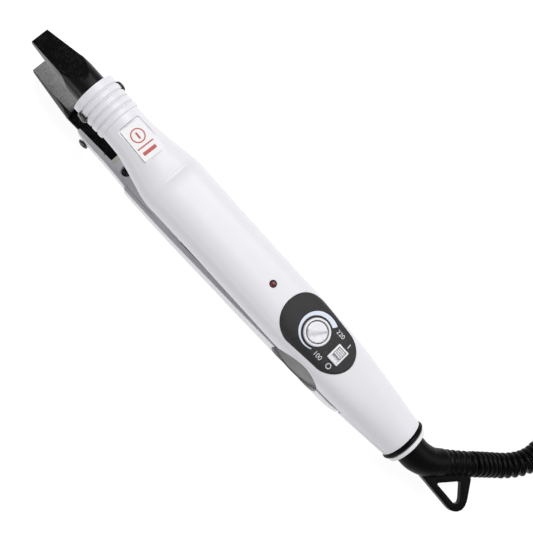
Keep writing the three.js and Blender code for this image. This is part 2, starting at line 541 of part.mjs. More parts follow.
function plugPin(side) {
  const pin = lathe([[0, 0], [2.0, 0], [2.0, 17.6], [1.5, 18.6], [0, 19]], 14);
  return pin.rotateX(Math.PI).translate(PLUG.x + side * 9.5, PLUG.y - PLUG.length - 2 * GAP, PLUG.z);
}

// ---- materials and assembly ---------------------------------------------------------------
const paint = (color, roughness, metalness = 0) => new THREE.MeshStandardMaterial({ color, roughness, metalness });
const WHITE = [0xe9e8ee, 0.32], BLACK = [0x141414, 0.55], COATED = [0x101010, 0.75];
const STEEL = [0xb9bcc0, 0.3, 1], PANEL_GREY = [0x37363a, 0.5];
const CAP_GREY = [0x6b6a6c, 0.45], RUBBER = [0x0d0d0d, 0.6];

function piece(group, name, geometry, look) {
  const mesh = new THREE.Mesh(geometry, paint(...look));
  mesh.name = name;
  group.add(mesh);
}

// A group whose children are drawn in the arm frame and which turns about the hinge.
function armGroup(parent, degrees, height = 0) {
  const turned = new THREE.Group();
  turned.position.z = height;
  turned.rotation.y = rad(degrees);
  const drawn = new THREE.Group();
  drawn.position.set(-PIVOT_X, 0, -PIVOT_Z);
  turned.add(drawn);
  parent.add(turned);
  return { turned, drawn };
}

const tongs = new THREE.Group();
const handle = armGroup(tongs, -(OPEN_ANGLE - LEVER_SLOPE), PIVOT_HEIGHT);
const lever = armGroup(handle.turned, OPEN_ANGLE);
const onHandle = (...args) => piece(handle.drawn, ...args);
const onLever = (...args) => piece(lever.drawn, ...args);
const onTable = (...args) => piece(tongs, ...args);

onHandle('upper_shell', upperShell(), WHITE);
onHandle('lower_cover', lowerCover(), WHITE);
onHandle('control_panel', controlPanel(), PANEL_GREY);
onHandle('knob_bezel', knobBezel(), WHITE);
onHandle('temperature_knob', temperatureKnob(), WHITE);
onHandle('switch_bezel', switchBezel(), WHITE);
onHandle('switch_slider', switchSlider(), WHITE);
onHandle('led_lens', ledLens(), [0x7a0f10, 0.15]);
onHandle('circuit_board', circuitBoard(), [0x2f6a3a, 0.5]);
onHandle('potentiometer', potentiometer(), [0x55585c, 0.4]);
onHandle('switch_body', switchBody(), BLACK);
onHandle('upper_jaw_bar', upperJawBar(), COATED);
onHandle('upper_heater', rodX(HEATER_RADIUS, 163.2, 213, 0, BAR_Z, 16), STEEL);
onHandle('upper_mica_sleeve', micaSleeve(), [0x8a7f66, 0.6]);
onHandle('upper_lead', upperLead(), [0xd8d8d8, 0.5]);
onHandle('mains_lead', mainsLead(), BLACK);
onHandle('label_plate', labelPlate(), [0xf4f4f2, 0.5]);
onHandle('rear_o_ring', rearORing(), RUBBER);
onHandle('pivot_pin', rodY(PIN_RADIUS, -11.0, 11.0, PIVOT_X, PIVOT_Z), STEEL);
onHandle('return_spring', returnSpring(), STEEL);
for (const [side, word] of [[1, 'left'], [-1, 'right']]) {
  const upperScrew = sideScrew(UPPER_SCREW_X, BAR_Z, side, COLLAR_RADIUS + 0.1, 4.4);
  const lowerScrew = sideScrew(LOWER_SCREW_X, LOWER_SCREW_Z, side, LOWER_SCREW_SEAT, 3.4);
  onHandle(`upper_clamp_screw_${word}`, upperScrew, BLACK);
  onLever(`lower_clamp_screw_${word}`, lowerScrew, BLACK);
  onLever(`holder_screw_${word}`, holderScrew(side), BLACK);
  onLever(`hinge_plate_${word}`, hingePlate(side), STEEL);
  onLever(`pivot_cap_${word}`, pivotCap(side), CAP_GREY);
}
onLever('lever_shell', leverShell(), WHITE);
onLever('lever_inner_cover', leverInnerCover(), WHITE);
onLever('lever_liner', leverLiner(), BLACK);
onLever('lower_jaw_bar', lowerJawBar(), COATED);
onLever('lower_heater', rodX(HEATER_RADIUS - GAP, 183.4, 206, 0, LOWER_BORE_Z, 16), STEEL);
onLever('ceramic_bush', ceramicBush(), [0xd9d6cf, 0.7]);
onLever('lower_lead', lowerLead(), [0xd8d8d8, 0.5]);
onHandle('swivel_collar', swivelCollar(), WHITE);
onHandle('strain_relief_elbow', elbow(), RUBBER);
onTable('curly_cord', curlyCord(), RUBBER);
onTable('cord_tail', cordTail(), RUBBER);
onTable('plug_body', plugBody(), BLACK);
onTable('plug_pin_left', plugPin(1), STEEL);
onTable('plug_pin_right', plugPin(-1), STEEL);

export default tongs;
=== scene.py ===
"""Hand-held heat sealing tongs: the visual model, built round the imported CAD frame.

Shapes are drawn in millimetres in the arm frame of part.mjs (X from the rear end of the handle to
the jaw tips, Z across the jaws) and then laid into the row frame in metres.
"""
import bpy
import bmesh
import json
import math
import numpy as np
from mathutils import Matrix, Vector


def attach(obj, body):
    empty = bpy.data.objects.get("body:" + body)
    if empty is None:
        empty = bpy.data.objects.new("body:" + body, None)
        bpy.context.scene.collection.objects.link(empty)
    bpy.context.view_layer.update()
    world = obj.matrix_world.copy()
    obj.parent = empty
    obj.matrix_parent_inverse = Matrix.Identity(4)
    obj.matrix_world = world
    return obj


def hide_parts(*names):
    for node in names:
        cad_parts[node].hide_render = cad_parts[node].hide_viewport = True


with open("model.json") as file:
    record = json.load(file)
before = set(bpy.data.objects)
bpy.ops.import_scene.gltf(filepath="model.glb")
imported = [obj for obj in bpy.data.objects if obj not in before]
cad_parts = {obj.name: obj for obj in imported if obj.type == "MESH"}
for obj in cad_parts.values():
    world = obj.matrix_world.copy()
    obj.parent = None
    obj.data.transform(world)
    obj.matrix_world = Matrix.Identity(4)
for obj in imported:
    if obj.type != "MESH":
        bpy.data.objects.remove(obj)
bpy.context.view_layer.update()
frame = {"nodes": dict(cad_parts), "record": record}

MM = 0.001
GAP = 0.3
PIVOT_X, PIVOT_Z = 56.0, 17.5
OPEN_ANGLE, LEVER_SLOPE = 10.2, 4.9
BODY_Z, SEAM_Z, LIP_Z = 21.2, 23.2, 22.5
SHELL_WALL, LEVER_WALL = 1.8, 1.6
HOLLOW_X, BARREL_BORE, SCREW_BORE = 2.2, 5.2, 1.6
TIP_X, LOWER_TIP_X = 237.0, 238.3
BAR_RADIUS, BAR_Z = 7.6, 27.6
SHANK_RADIUS = 5.0
SEAL_Z = 22.4
LOWER_BAR_Z = 2 * (SEAL_Z - GAP / 2) - BAR_Z
HEATER_RADIUS, LOWER_BORE_Z = 2.6, 13.3
NECK_END, NECK_RADIUS = 186.6, 9.7
COLLAR_FRONT, COLLAR_RADIUS = 204.0, 10.5
UPPER_SCREW_X = 198.4
LOWER_SCREW_X, LOWER_SCREW_Z, LOWER_SCREW_SEAT = 198.0, 15.8, 10.3
CAP_RADIUS, CAP_IN, CAP_OUT = 13.3, 11.4, 13.2
KNOB_X, SWITCH_X, LED_X = 63.8, 50.4, 92.0
LEVER_REAR, NOSE_X = 28.8, 202.5
CORD_DIAMETER, CURL_DIAMETER = 2.8, 12.2
PANEL_SINK, PANEL_PROUD, PANEL_Y = 0.6, 0.35, -0.4
PANEL_TOP = BODY_Z + 15.1 + PANEL_PROUD
LABEL_Z = 35.0


def shift(x, y, z):
    return Matrix.Translation((x, y, z))


def rotate(degrees, axis):
    return Matrix.Rotation(math.radians(degrees), 4, axis)


def lever_bottom(x):
    return -3.0 + (x - PIVOT_X) * math.tan(math.radians(LEVER_SLOPE))


PIVOT_HEIGHT = (PIVOT_Z - lever_bottom(PIVOT_X)) * math.cos(math.radians(LEVER_SLOPE))


def arm_matrix(degrees):
    """Arm frame in millimetres to row frame in metres, for an arm turned about the hinge."""
    turn = rotate(degrees, "Y")
    back = shift(-PIVOT_X, 0, -PIVOT_Z)
    return Matrix.Scale(MM, 4) @ shift(0, 0, PIVOT_HEIGHT) @ turn @ back


HANDLE = arm_matrix(LEVER_SLOPE - OPEN_ANGLE)
LEVER = arm_matrix(LEVER_SLOPE)
TABLE = Matrix.Scale(MM, 4)


# ---- camera -------------------------------------------------------------------------------
def link(obj):
    bpy.context.scene.collection.objects.link(obj)
    return obj


def make_camera():
    data = bpy.data.cameras.new("camera")
    data.sensor_width = 36.0
    data.lens = 60.79
    data.clip_start, data.clip_end = 0.01, 10.0
    cam = link(bpy.data.objects.new("camera", data))
    right = Vector((-0.6879, -0.7010, 0.1881))
    down = Vector((-0.7257, 0.6623, -0.1861))
    ahead = right.cross(down).normalized()
    turn = Matrix((right.normalized(), -down.normalized(), -ahead)).transposed()
    cam.matrix_world = shift(0.0392, 0.0989, 0.4145) @ turn.to_4x4()
    bpy.context.scene.camera = cam


make_camera()


# ---- mesh helpers -------------------------------------------------------------------------
def solid(points, faces):
    me = bpy.data.meshes.new("solid")
    me.from_pydata([tuple(map(float, p)) for p in points], [], [tuple(map(int, f)) for f in faces])
    me.update()
    bm = bmesh.new()
    bm.from_mesh(me)
    bmesh.ops.recalc_face_normals(bm, faces=bm.faces)
    if bm.calc_volume(signed=True) < 0:
        bmesh.ops.reverse_faces(bm, faces=bm.faces)
    bm.to_mesh(me)
    bm.free()
    return link(bpy.data.objects.new("solid", me))


def bake(obj):
    """Applies the modifiers of obj."""
    dg = bpy.context.evaluated_depsgraph_get()
    me = bpy.data.meshes.new_from_object(obj.evaluated_get(dg))
    old = obj.data
    obj.modifiers.clear()
    obj.data = me
    bpy.data.meshes.remove(old)
    return obj


def discard(obj):
    data = obj.data
    bpy.data.objects.remove(obj)
    if isinstance(data, bpy.types.Mesh):
        bpy.data.meshes.remove(data)


def combine(base, others, operation):
    """Boolean of base with each of the others, which are used up."""
    for other in others:
        mod = base.modifiers.new("combine", "BOOLEAN")
        mod.operation = operation
        mod.solver = "MANIFOLD"
        mod.object = other
    bake(base)
    for other in others:
        discard(other)
    return base


def cut(base, *others):
    return combine(base, others, "DIFFERENCE")


def join(base, *others):
    return combine(base, others, "UNION")


def common(base, *others):
    return combine(base, others, "INTERSECT")


def bevel(obj, width, segments=2, angle=40):
    """Rounds the edges sharper than angle, in degrees."""
    mod = obj.modifiers.new("bevel", "BEVEL")
    mod.width = width
    mod.segments = segments
    mod.limit_method = "ANGLE"
    mod.angle_limit = math.radians(angle)
    mod.use_clamp_overlap = True
    return bake(obj)


def skin(rings, closed=False):
    """Solid through rings of points with equal counts. closed joins the last ring to the first."""
    count = len(rings[0])
    points = [p for r in rings for p in r]
    faces = []
    last = len(rings) if closed else len(rings) - 1
    for i in range(last):
        a, b = i * count, (i + 1) % len(rings) * count
        faces += [(a + j, a + (j + 1) % count, b + (j + 1) % count, b + j) for j in range(count)]
    if not closed:
        faces.append(tuple(range(count))[::-1])
        faces.append(tuple((len(rings) - 1) * count + j for j in range(count)))
    return solid(points, faces)


def box(x0, x1, y0, y1, z0, z1):
    ring = lambda z: [(x0, y0, z), (x1, y0, z), (x1, y1, z), (x0, y1, z)]
    return skin([ring(z0), ring(z1)])


def round_angles(count):
    return np.linspace(0, 2 * math.pi, count, endpoint=False)


def circle(radius, count):
    return [(radius * math.cos(a), radius * math.sin(a)) for a in round_angles(count)]


def rod(axis, radius, low, high, u, v, count=64):
    """Round bar along X, Y or Z, with its centre at (u, v) on the two other axes in X, Y, Z order."""
    place = {"x": lambda a, b, h: (h, u + a, v + b), "y": lambda a, b, h: (u + a, h, v + b),
             "z": lambda a, b, h: (u + a, v + b, h)}[axis]
    return skin([[place(a, b, h) for a, b in circle(radius, count)] for h in (low, high)])


def side_rods(radius, middle, half, x, z, count):
    """Round bars along Y on both sides, from middle - half to middle + half away from the centre."""
    return [rod("y", radius, side * middle - half, side * middle + half, x, z, count) for side in (-1, 1)]


def washer(x, y, section, count):
    """Ring about a vertical axis at (x, y), with a section of (radius, height) points."""
    return skin([[(x + r * math.cos(a), y + r * math.sin(a), z) for r, z in section]
                 for a in round_angles(count)], closed=True)


def lathe(profile, count, matrix=Matrix()):
    """Solid of revolution about Z from (radius, height) points, closed or running from axis to axis."""
    points, faces, index = [], [], []
    for r, h in profile:
        if r < 1e-6:
            index.append([len(points)] * count)
            points.append((0, 0, h))
        else:
            index.append(list(range(len(points), len(points) + count)))
            points += [(a, b, h) for a, b in circle(r, count)]
    on_axis = profile[0][0] < 1e-6
    steps = len(profile) - 1 if on_axis else len(profile)
    for i in range(steps):
        p, q = index[i], index[(i + 1) % len(profile)]
        for j in range(count):
            k = (j + 1) % count
            corners = [p[j], p[k], q[k], q[j]]
            face = [c for n, c in enumerate(corners) if c != corners[n - 1]]
            if len(face) > 2:
                faces.append(face)
    return solid([matrix @ Vector(p) for p in points], faces)


def soften(profile, radius, steps=4):
    """Rounds the corners of a closed (u, v) profile."""
    pts = [Vector(p) for p in profile]
    out = []
    for i, p in enumerate(pts):
        a, b = pts[i - 1], pts[(i + 1) % len(pts)]
        la, lb = (a - p).length, (b - p).length
        if min(la, lb) < 1e-9 or (a - p).angle(b - p) > math.radians(172):
            out.append(tuple(p))
            continue
        d = min(radius, 0.45 * la, 0.45 * lb)
        s, e = p + (a - p) * (d / la), p + (b - p) * (d / lb)
        for k in range(steps + 1):
            t = k / steps
            out.append(tuple(s * (1 - t) ** 2 + p * 2 * t * (1 - t) + e * t * t))
    return out


def prism(outline, axis, low, high):
    """Straight solid of a (u, v) outline: along z from (x, y), or along y from (x, z)."""
    place = (lambda u, v, h: (u, v, h)) if axis == "z" else (lambda u, v, h: (u, h, v))
    return skin([[place(u, v, h) for u, v in outline] for h in (low, high)])


def rounded_box(x0, x1, y0, y1, z0, z1, r):
    """Box with its four upright edges rounded."""
    outline, steps = [], 6
    corners = [(x1 - r, y1 - r, 0), (x0 + r, y1 - r, 90), (x0 + r, y0 + r, 180), (x1 - r, y0 + r, 270)]
    for cx, cy, start in corners:
        for k in range(steps + 1):
            t = math.radians(start + 90 * k / steps)
            outline.append((cx + r * math.cos(t), cy + r * math.sin(t)))
    return prism(outline, "z", z0, z1)


def paint(obj, first, second, is_second):
    """Gives obj two materials, the second one on the faces that is_second picks."""
    obj.data.materials.clear()
    obj.data.materials.append(first)
    obj.data.materials.append(second)
    for face in obj.data.polygons:
        face.material_index = int(is_second(face))


def resample(points, count, closed=False):
    """Evenly spaced points along a line."""
    p = np.asarray(points, float)
    if closed:
        p = np.vstack([p, p[:1]])
    s = np.concatenate([[0], np.cumsum(np.linalg.norm(np.diff(p, axis=0), axis=1))])
    at = np.linspace(0, s[-1], count + 1)[:-1] if closed else np.linspace(0, s[-1], count)
    return np.stack([np.interp(at, s, p[:, k]) for k in range(p.shape[1])], 1)


# ---- routes and cords ---------------------------------------------------------------------
def catmull(points, per_span):
    """Centripetal Catmull-Rom curve through the points."""
    p = [np.asarray(q, float) for q in points]
    p = [2 * p[0] - p[1]] + p + [2 * p[-1] - p[-2]]
    out = []
    for i in range(1, len(p) - 2):
        a, b, c, d = p[i - 1:i + 3]
        t0 = 0.0
        t1 = t0 + np.linalg.norm(b - a) ** 0.5
        t2 = t1 + np.linalg.norm(c - b) ** 0.5
        t3 = t2 + np.linalg.norm(d - c) ** 0.5
        for t in np.linspace(t1, t2, per_span, endpoint=False):
            a1 = (t1 - t) / (t1 - t0) * a + (t - t0) / (t1 - t0) * b
            a2 = (t2 - t) / (t2 - t1) * b + (t - t1) / (t2 - t1) * c
            a3 = (t3 - t) / (t3 - t2) * c + (t - t2) / (t3 - t2) * d
            b1 = (t2 - t) / (t2 - t0) * a1 + (t - t0) / (t2 - t0) * a2
            b2 = (t3 - t) / (t3 - t1) * a2 + (t - t1) / (t3 - t1) * a3
            out.append((t2 - t) / (t2 - t1) * b1 + (t - t1) / (t2 - t1) * b2)
    out.append(p[-2])
    return np.array(out)


def carried_frames(points):
    """Tangent and two normals at each point, with the normals carried along without twist."""
    tangent = np.gradient(points, axis=0)
    tangent /= np.linalg.norm(tangent, axis=1)[:, None]
    normal = np.zeros_like(points)
    start = np.cross(tangent[0], (0, 0, 1.0))
    normal[0] = start / np.linalg.norm(start)
    for i in range(1, len(points)):
        n = normal[i - 1] - tangent[i] * np.dot(normal[i - 1], tangent[i])
        normal[i] = n / np.linalg.norm(n)
    return tangent, normal, np.cross(tangent, normal)


CURL_ROUTE = [
    (-87.5, -14.9, 14.0), (-90.3, -17.5, 12.9), (-94.5, -21.4, 10.6), (-99, -25.6, 8.0), (-103.6, -29.8, 6.6),
    (-107.8, -34.6, 6.4),
    (-110.7, -39.4, 6.4), (-112.4, -44.4, 6.4), (-113, -52, 6.4), (-112.4, -59.6, 6.4), (-117.4, -68, 6.4),
    (-126, -74.4, 6.4), (-137.5, -77, 6.4), (-149, -75.4, 6.4), (-159.4, -69.4, 6.4), (-166, -60.4, 6.4),
    (-168.5, -50, 6.4), (-168.6, -38, 6.4), (-168.5, -25, 6.4), (-168.5, -12, 6.4),
]
TAIL_ROUTE = [
    (-168.5, -11.6, 6.4), (-168.5, -6, 5.6), (-169, 0, 3.4), (-171, 6.4, 1.8), (-176, 11.6, 1.6),
    (-182.4, 12.2, 1.6), (-188, 8.6, 1.6), (-191.4, 2.6, 2.2), (-192.4, -4, 4.2), (-192.5, -9, 6.2),
    (-192.5, -13.6, 7.2),
]
PLUG = dict(x=-192.5, y=-14.0, z=7.2, length=34.0, wide=13.0, high=7.0)
COIL_RADIUS = (CURL_DIAMETER - CORD_DIAMETER) / 2
TURN_PITCH = CORD_DIAMETER * 1.01
POINTS_PER_TURN = 20


def cord_line():
    """Centreline of the whole cord: a short straight root inside the elbow, the coil, and the tail."""
    route = catmull(CURL_ROUTE, 40)
    route = resample(route, 2400)
    step = np.linalg.norm(np.diff(route, axis=0), axis=1).mean()
    tangent, normal, binormal = carried_frames(route)
    bend = np.linalg.norm(np.gradient(tangent, axis=0), axis=1) / step
    bend = np.convolve(np.pad(bend, 60, mode="edge"), np.ones(121) / 121, mode="valid")
    pitch = TURN_PITCH / (1 - COIL_RADIUS * bend)
    turns = np.concatenate([[0], np.cumsum(step / pitch[:-1])])
    total = turns[-1]
    samples = np.linspace(0, total, int(total * POINTS_PER_TURN))
    at = np.interp(samples, turns, np.arange(len(turns)))

    def pick(field):
        return np.stack([np.interp(at, np.arange(len(field)), field[:, k]) for k in range(3)], 1)

    centre, n, b = pick(route), pick(normal), pick(binormal)
    ease = np.clip(np.minimum(samples / 0.7, (total - samples) / 0.8), 0, 1)
    radius = COIL_RADIUS * ease * ease * (3 - 2 * ease)
    angle = 2 * math.pi * samples
    coil = centre + radius[:, None] * (np.cos(angle)[:, None] * n + np.sin(angle)[:, None] * b)
    tail = resample(catmull(TAIL_ROUTE, 12), 60)
    into_plug = np.array([(PLUG["x"], PLUG["y"] - 4.0, PLUG["z"])])
    return np.vstack([coil, tail[1:], into_plug]) * MM


def make_cord(material):
    """The cord as a round curve through its centreline, and its length in metres."""
    line = cord_line()
    data = bpy.data.curves.new("mains_cord", "CURVE")
    data.dimensions = "3D"
    spline = data.splines.new("POLY")
    spline.points.add(len(line) - 1)
    spline.points.foreach_set("co", np.hstack([line, np.ones((len(line), 1))]).ravel())
    spline.use_smooth = True
    data.bevel_depth = CORD_DIAMETER / 2 * MM
    data.bevel_resolution = 3
    data.use_fill_caps = True
    data.materials.append(material)
    obj = link(bpy.data.objects.new("mains_cord", data))
    length = float(np.linalg.norm(np.diff(line, axis=0), axis=1).sum())
    return obj, length


# ---- materials ----------------------------------------------------------------------------
class Nodes:
    """A material under construction."""

    def __init__(self, name):
        self.mat = bpy.data.materials.new(name)
        self.mat.use_nodes = True
        self.tree = self.mat.node_tree
        self.shader = self.tree.nodes["Principled BSDF"]
        self.coords = self.tree.nodes.new("ShaderNodeTexCoord").outputs["Object"]

    def add(self, kind, **values):
        node = self.tree.nodes.new(kind)
        for key, value in values.items():
            if hasattr(node, key):
                setattr(node, key, value)
            else:
                self.feed(node.inputs[key.replace("_", " ")], value)
        return node

    def feed(self, socket, value):
        if isinstance(value, bpy.types.NodeSocket):
            self.tree.links.new(value, socket)
        elif socket.type == "RGBA" and len(value) == 3:
            socket.default_value = (*value, 1)
        else:
            socket.default_value = value

    def set(self, **values):
        for key, value in values.items():
            self.feed(self.shader.inputs[key.replace("_", " ")], value)

    def noise(self, scale, detail, roughness=0.55, stretch=None):
        vector = self.coords
        if stretch:
            mapping = self.add("ShaderNodeMapping", Vector=vector)
            mapping.inputs["Scale"].default_value = stretch
            vector = mapping.outputs["Vector"]
        node = self.add("ShaderNodeTexNoise", Scale=scale, Detail=detail, Roughness=roughness, Vector=vector)
        return node.outputs["Fac"]

    def voronoi(self, scale):
        node = self.add("ShaderNodeTexVoronoi", Scale=scale, Vector=self.coords)
        return node.outputs["Distance"]

    def ramp(self, factor, stops):
        node = self.add("ShaderNodeValToRGB", Fac=factor)
        ramp = node.color_ramp
        while len(ramp.elements) < len(stops):
            ramp.elements.new(0.5)
        for element, (position, colour) in zip(ramp.elements, stops):
            element.position = position
            element.color = (*colour, 1) if isinstance(colour, tuple) else (colour, colour, colour, 1)
        return node.outputs["Color"]

    def mix(self, factor, a, b):
        node = self.add("ShaderNodeMix", data_type="RGBA")
        self.feed(node.inputs[0], factor)
        self.feed(node.inputs[6], a)
        self.feed(node.inputs[7], b)
        return node.outputs[2]

    def range(self, factor, low, high, start=0.0, end=1.0):
        node = self.add("ShaderNodeMapRange")
        for socket, value in zip(node.inputs, (factor, start, end, low, high)):
            self.feed(socket, value)
        return node.outputs[0]

    def bump(self, height, strength, distance):
        node = self.add("ShaderNodeBump", Height=height, Strength=strength, Distance=distance)
        return node.outputs["Normal"]


def plastic(name, colour, roughness, vary, grain, coat=0.0, grain_scale=2600, specular=0.4):
    m = Nodes(name)
    broad = m.noise(38, 4)
    dark = tuple(c * (1 - vary) for c in colour)
    m.set(Base_Color=m.mix(broad, dark, colour))
    m.set(Roughness=m.range(m.noise(160, 4), roughness * 0.85, roughness * 1.2))
    m.set(Normal=m.bump(m.noise(grain_scale, 2), grain, 0.0004), Specular_IOR_Level=specular)
    if coat:
        m.set(Coat_Weight=coat, Coat_Roughness=0.12)
    return m.mat


def coated_metal():
    m = Nodes("coated_metal")
    # Painted glints: light specks in noisy patches stand in for the sparkle of the rough coating.
    glint_speck = m.ramp(m.voronoi(2600), [(0.0, 1.0), (0.14, 0.9), (0.24, 0.0)])
    patch = m.ramp(m.noise(420, 5), [(0.42, 0.0), (0.60, 1.0)])
    bright = m.add("ShaderNodeMix", data_type="RGBA", blend_type="MULTIPLY")
    bright.inputs[0].default_value = 1.0
    m.feed(bright.inputs[6], glint_speck)
    m.feed(bright.inputs[7], patch)
    glint_mask = bright.outputs[2]
    base = m.mix(m.noise(90, 5), (0.001, 0.001, 0.001), (0.003, 0.003, 0.003))
    m.set(Base_Color=m.mix(glint_mask, base, (0.12, 0.12, 0.12)), Specular_IOR_Level=0.06)
    m.set(Roughness=m.range(m.noise(700, 4), 0.30, 0.52))
    m.set(Normal=m.bump(m.noise(1500, 4), 0.25, 0.0003))
    return m.mat


def smooth_black():
    """Polished black of the jaw bars' round parts and sides."""
    m = Nodes("smooth_black")
    m.set(Base_Color=m.mix(m.noise(500, 5), (0.001, 0.001, 0.001), (0.003, 0.003, 0.003)))
    m.set(Specular_IOR_Level=0.2)
    m.set(Roughness=m.range(m.noise(900, 4), 0.22, 0.38), Normal=m.bump(m.noise(1800, 3), 0.12, 0.0003))
    return m.mat


def sealing_face():
    """Coating of the sealing face: mottled grey towards the tip, its own mottle lightened by a painted
    reflection of the lit face, and black further back as a painted shadow of the upper arm.
    """
    m = Nodes("sealing_face")
    fine = m.noise(1500, 5, 0.7)
    broad = m.noise(220, 4)
    # The grey tones are the coating's own mottle, made lighter as a painted reflection.
    tone = m.mix(broad, m.ramp(fine, [(0.3, (0.07, 0.07, 0.07)), (0.7, (0.22, 0.22, 0.22))]),
                 m.ramp(fine, [(0.3, (0.12, 0.12, 0.12)), (0.7, (0.30, 0.30, 0.30))]))
    along = m.add("ShaderNodeSeparateXYZ", Vector=m.coords).outputs["X"]
    # Painted shadow: black behind this point along x, where the upper arm shades the face, and the grey tones
    # in front of it.
    outside_painted_shadow = m.range(along, 0.0, 1.0, 0.1545, 0.1575)
    m.set(Base_Color=m.mix(outside_painted_shadow, (0.004, 0.004, 0.004), tone), Metallic=0.1, Specular_IOR_Level=0.25)
    m.set(Roughness=m.range(fine, 0.42, 0.66))
    m.set(Normal=m.bump(fine, 0.4, 0.0003))
    return m.mat


def rubber(name, tone=0.0018, roughness=0.33):
    m = Nodes(name)
    m.set(Base_Color=m.mix(m.noise(120, 4), (tone * 0.5,) * 3, (tone * 1.5,) * 3))
    m.set(Roughness=m.range(m.noise(420, 5), roughness * 0.75, roughness * 1.4))
    m.set(Normal=m.bump(m.noise(1100, 4), 0.16, 0.0004))
    m.set(Specular_IOR_Level=0.07)
    return m.mat


def metal(name, tone, roughness):
    m = Nodes(name)
    lines = m.noise(900, 4, 0.6)
    m.set(Base_Color=m.mix(lines, tuple(c * 0.8 for c in tone), tone), Metallic=1.0)
    m.set(Roughness=m.range(lines, roughness * 0.7, roughness * 1.4))
    m.set(Normal=m.bump(lines, 0.08, 0.0002))
    return m.mat


def brushed_cap():
    """Dark grey disc with a fine brush lengthways."""
    m = Nodes("cap_grey")
    lines = m.noise(1000, 5, 0.65, stretch=(0.06, 1, 1))
    broad = m.noise(60, 3)
    fine = m.ramp(lines, [(0.42, 0.0), (0.62, 1.0)])
    ground = m.mix(broad, (0.020, 0.019, 0.020), (0.036, 0.035, 0.036))
    m.set(Base_Color=m.mix(fine, ground, (0.24, 0.235, 0.24)))
    m.set(Metallic=0.3, Roughness=m.range(lines, 0.34, 0.55), Specular_IOR_Level=0.25)
    m.set(Normal=m.bump(lines, 0.25, 0.0004))
    return m.mat


def lens_red():
    m = Nodes("red_lens")
    m.set(Base_Color=m.mix(m.noise(900, 2), (0.10, 0.002, 0.002), (0.20, 0.005, 0.005)))
    m.set(Roughness=m.range(m.noise(500, 2), 0.08, 0.14), Transmission_Weight=0.25, Coat_Weight=0.6)
    return m.mat


def board_green():
    m = Nodes("board_green")
    tracks = m.ramp(m.noise(260, 1, stretch=(1, 0.2, 1)),
                    [(0.48, (0.02, 0.10, 0.04)), (0.52, (0.04, 0.17, 0.07))])
    m.set(Base_Color=tracks, Roughness=m.range(m.noise(300, 2), 0.3, 0.5))
    return m.mat


def paper(name, a, b, roughness):
    m = Nodes(name)
    m.set(Base_Color=m.mix(m.noise(500, 4), a, b))
    m.set(Roughness=m.range(m.noise(800, 3), roughness * 0.9, roughness * 1.1))
    m.set(Normal=m.bump(m.noise(2400, 3), 0.03, 0.0002))
    return m.mat


WHITE = (0.655, 0.65, 0.685)
MATERIALS = {
    "white_shell": plastic("white_shell", WHITE, 0.34, 0.02, 0.02, specular=0.32),
    "white_trim": plastic("white_trim", (0.68, 0.675, 0.70), 0.28, 0.02, 0.02, specular=0.35),
    "panel_grey": plastic("panel_grey", (0.021, 0.020, 0.022), 0.42, 0.4, 0.6, grain_scale=3200,
                          specular=0.3),
    "red_lens": lens_red(),
    "board_green": board_green(),
    "steel": metal("steel", (0.55, 0.55, 0.57), 0.28),
    "black_plastic": plastic("black_plastic", (0.012, 0.012, 0.012), 0.45, 0.2, 0.08),
    "coated_metal": coated_metal(),
    "mica": paper("mica", (0.22, 0.18, 0.11), (0.32, 0.27, 0.18), 0.5),
    "lead_sleeve": paper("lead_sleeve", (0.55, 0.54, 0.50), (0.72, 0.71, 0.67), 0.8),
    "black_rubber": rubber("black_rubber"),
    "black_cord": rubber("black_cord", 0.0018, 0.30),
    "label": paper("label", (0.66, 0.66, 0.665), (0.72, 0.72, 0.725), 0.5),
    "ceramic": paper("ceramic", (0.55, 0.53, 0.49), (0.68, 0.66, 0.62), 0.7),
    "cap_grey": brushed_cap(),
    "screw_black": plastic("screw_black", (0.011, 0.011, 0.011), 0.26, 0.3, 0.05, coat=0.3),
    "plug_metal": metal("plug_metal", (0.66, 0.65, 0.62), 0.18),
}
SEALING_FACE = sealing_face()
SMOOTH_BLACK = smooth_black()
RED_PRINT = paper("red_print", (0.36, 0.038, 0.028), (0.46, 0.055, 0.040), 0.5)
SCALE_PRINT = paper("scale_print", (0.52, 0.58, 0.68), (0.60, 0.66, 0.75), 0.45)
MARK_PRINT = paper("mark_print", (0.50, 0.51, 0.54), (0.62, 0.63, 0.66), 0.45)


def lay_out(obj, name, body, slot, matrix, replaces=None, material=None, smooth=38):
    me = obj.data
    me.transform(matrix)
    obj.name = me.name = name
    bm = bmesh.new()
    bm.from_mesh(me)
    bmesh.ops.remove_doubles(bm, verts=bm.verts, dist=2e-6)
    bmesh.ops.dissolve_degenerate(bm, edges=bm.edges, dist=1e-7)
    limit = math.radians(smooth)
    for face in bm.faces:
        face.smooth = True
    for edge in bm.edges:
        edge.smooth = len(edge.link_faces) == 2 and edge.calc_face_angle(0) < limit
    bm.to_mesh(me)
    bm.free()
    if not any(me.materials):
        me.materials.clear()
        me.materials.append(material or MATERIALS[slot])
    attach(obj, body)
    if replaces:
        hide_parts(replaces)
    return obj


# ---- outer forms --------------------------------------------------------------------------
def smooth_table(rows, x):
    """Monotone cubic reading of station rows (x first) at x."""
    rows = np.asarray(rows, float)
    xs = rows[:, 0]
    i = int(np.clip(np.searchsorted(xs, x) - 1, 0, len(xs) - 2))
    slopes = np.diff(rows[:, 1:], axis=0) / np.diff(xs)[:, None]

    def tangent(k):
        if k == 0:
            return slopes[0]
        if k == len(xs) - 1:
            return slopes[-1]
        a, b = slopes[k - 1], slopes[k]
        return np.where(a * b > 0, 2 * a * b / np.where(np.abs(a + b) < 1e-12, 1, a + b), 0)

    h = xs[i + 1] - xs[i]
    t = np.clip((x - xs[i]) / h, 0, 1)
    p, q = rows[i, 1:], rows[i + 1, 1:]
    m, n = tangent(i) * h, tangent(i + 1) * h
    return ((2 * t**3 - 3 * t**2 + 1) * p + (t**3 - 2 * t**2 + t) * m
            + (-2 * t**3 + 3 * t**2) * q + (t**3 - t**2) * n)


CREASE_X = 155.0
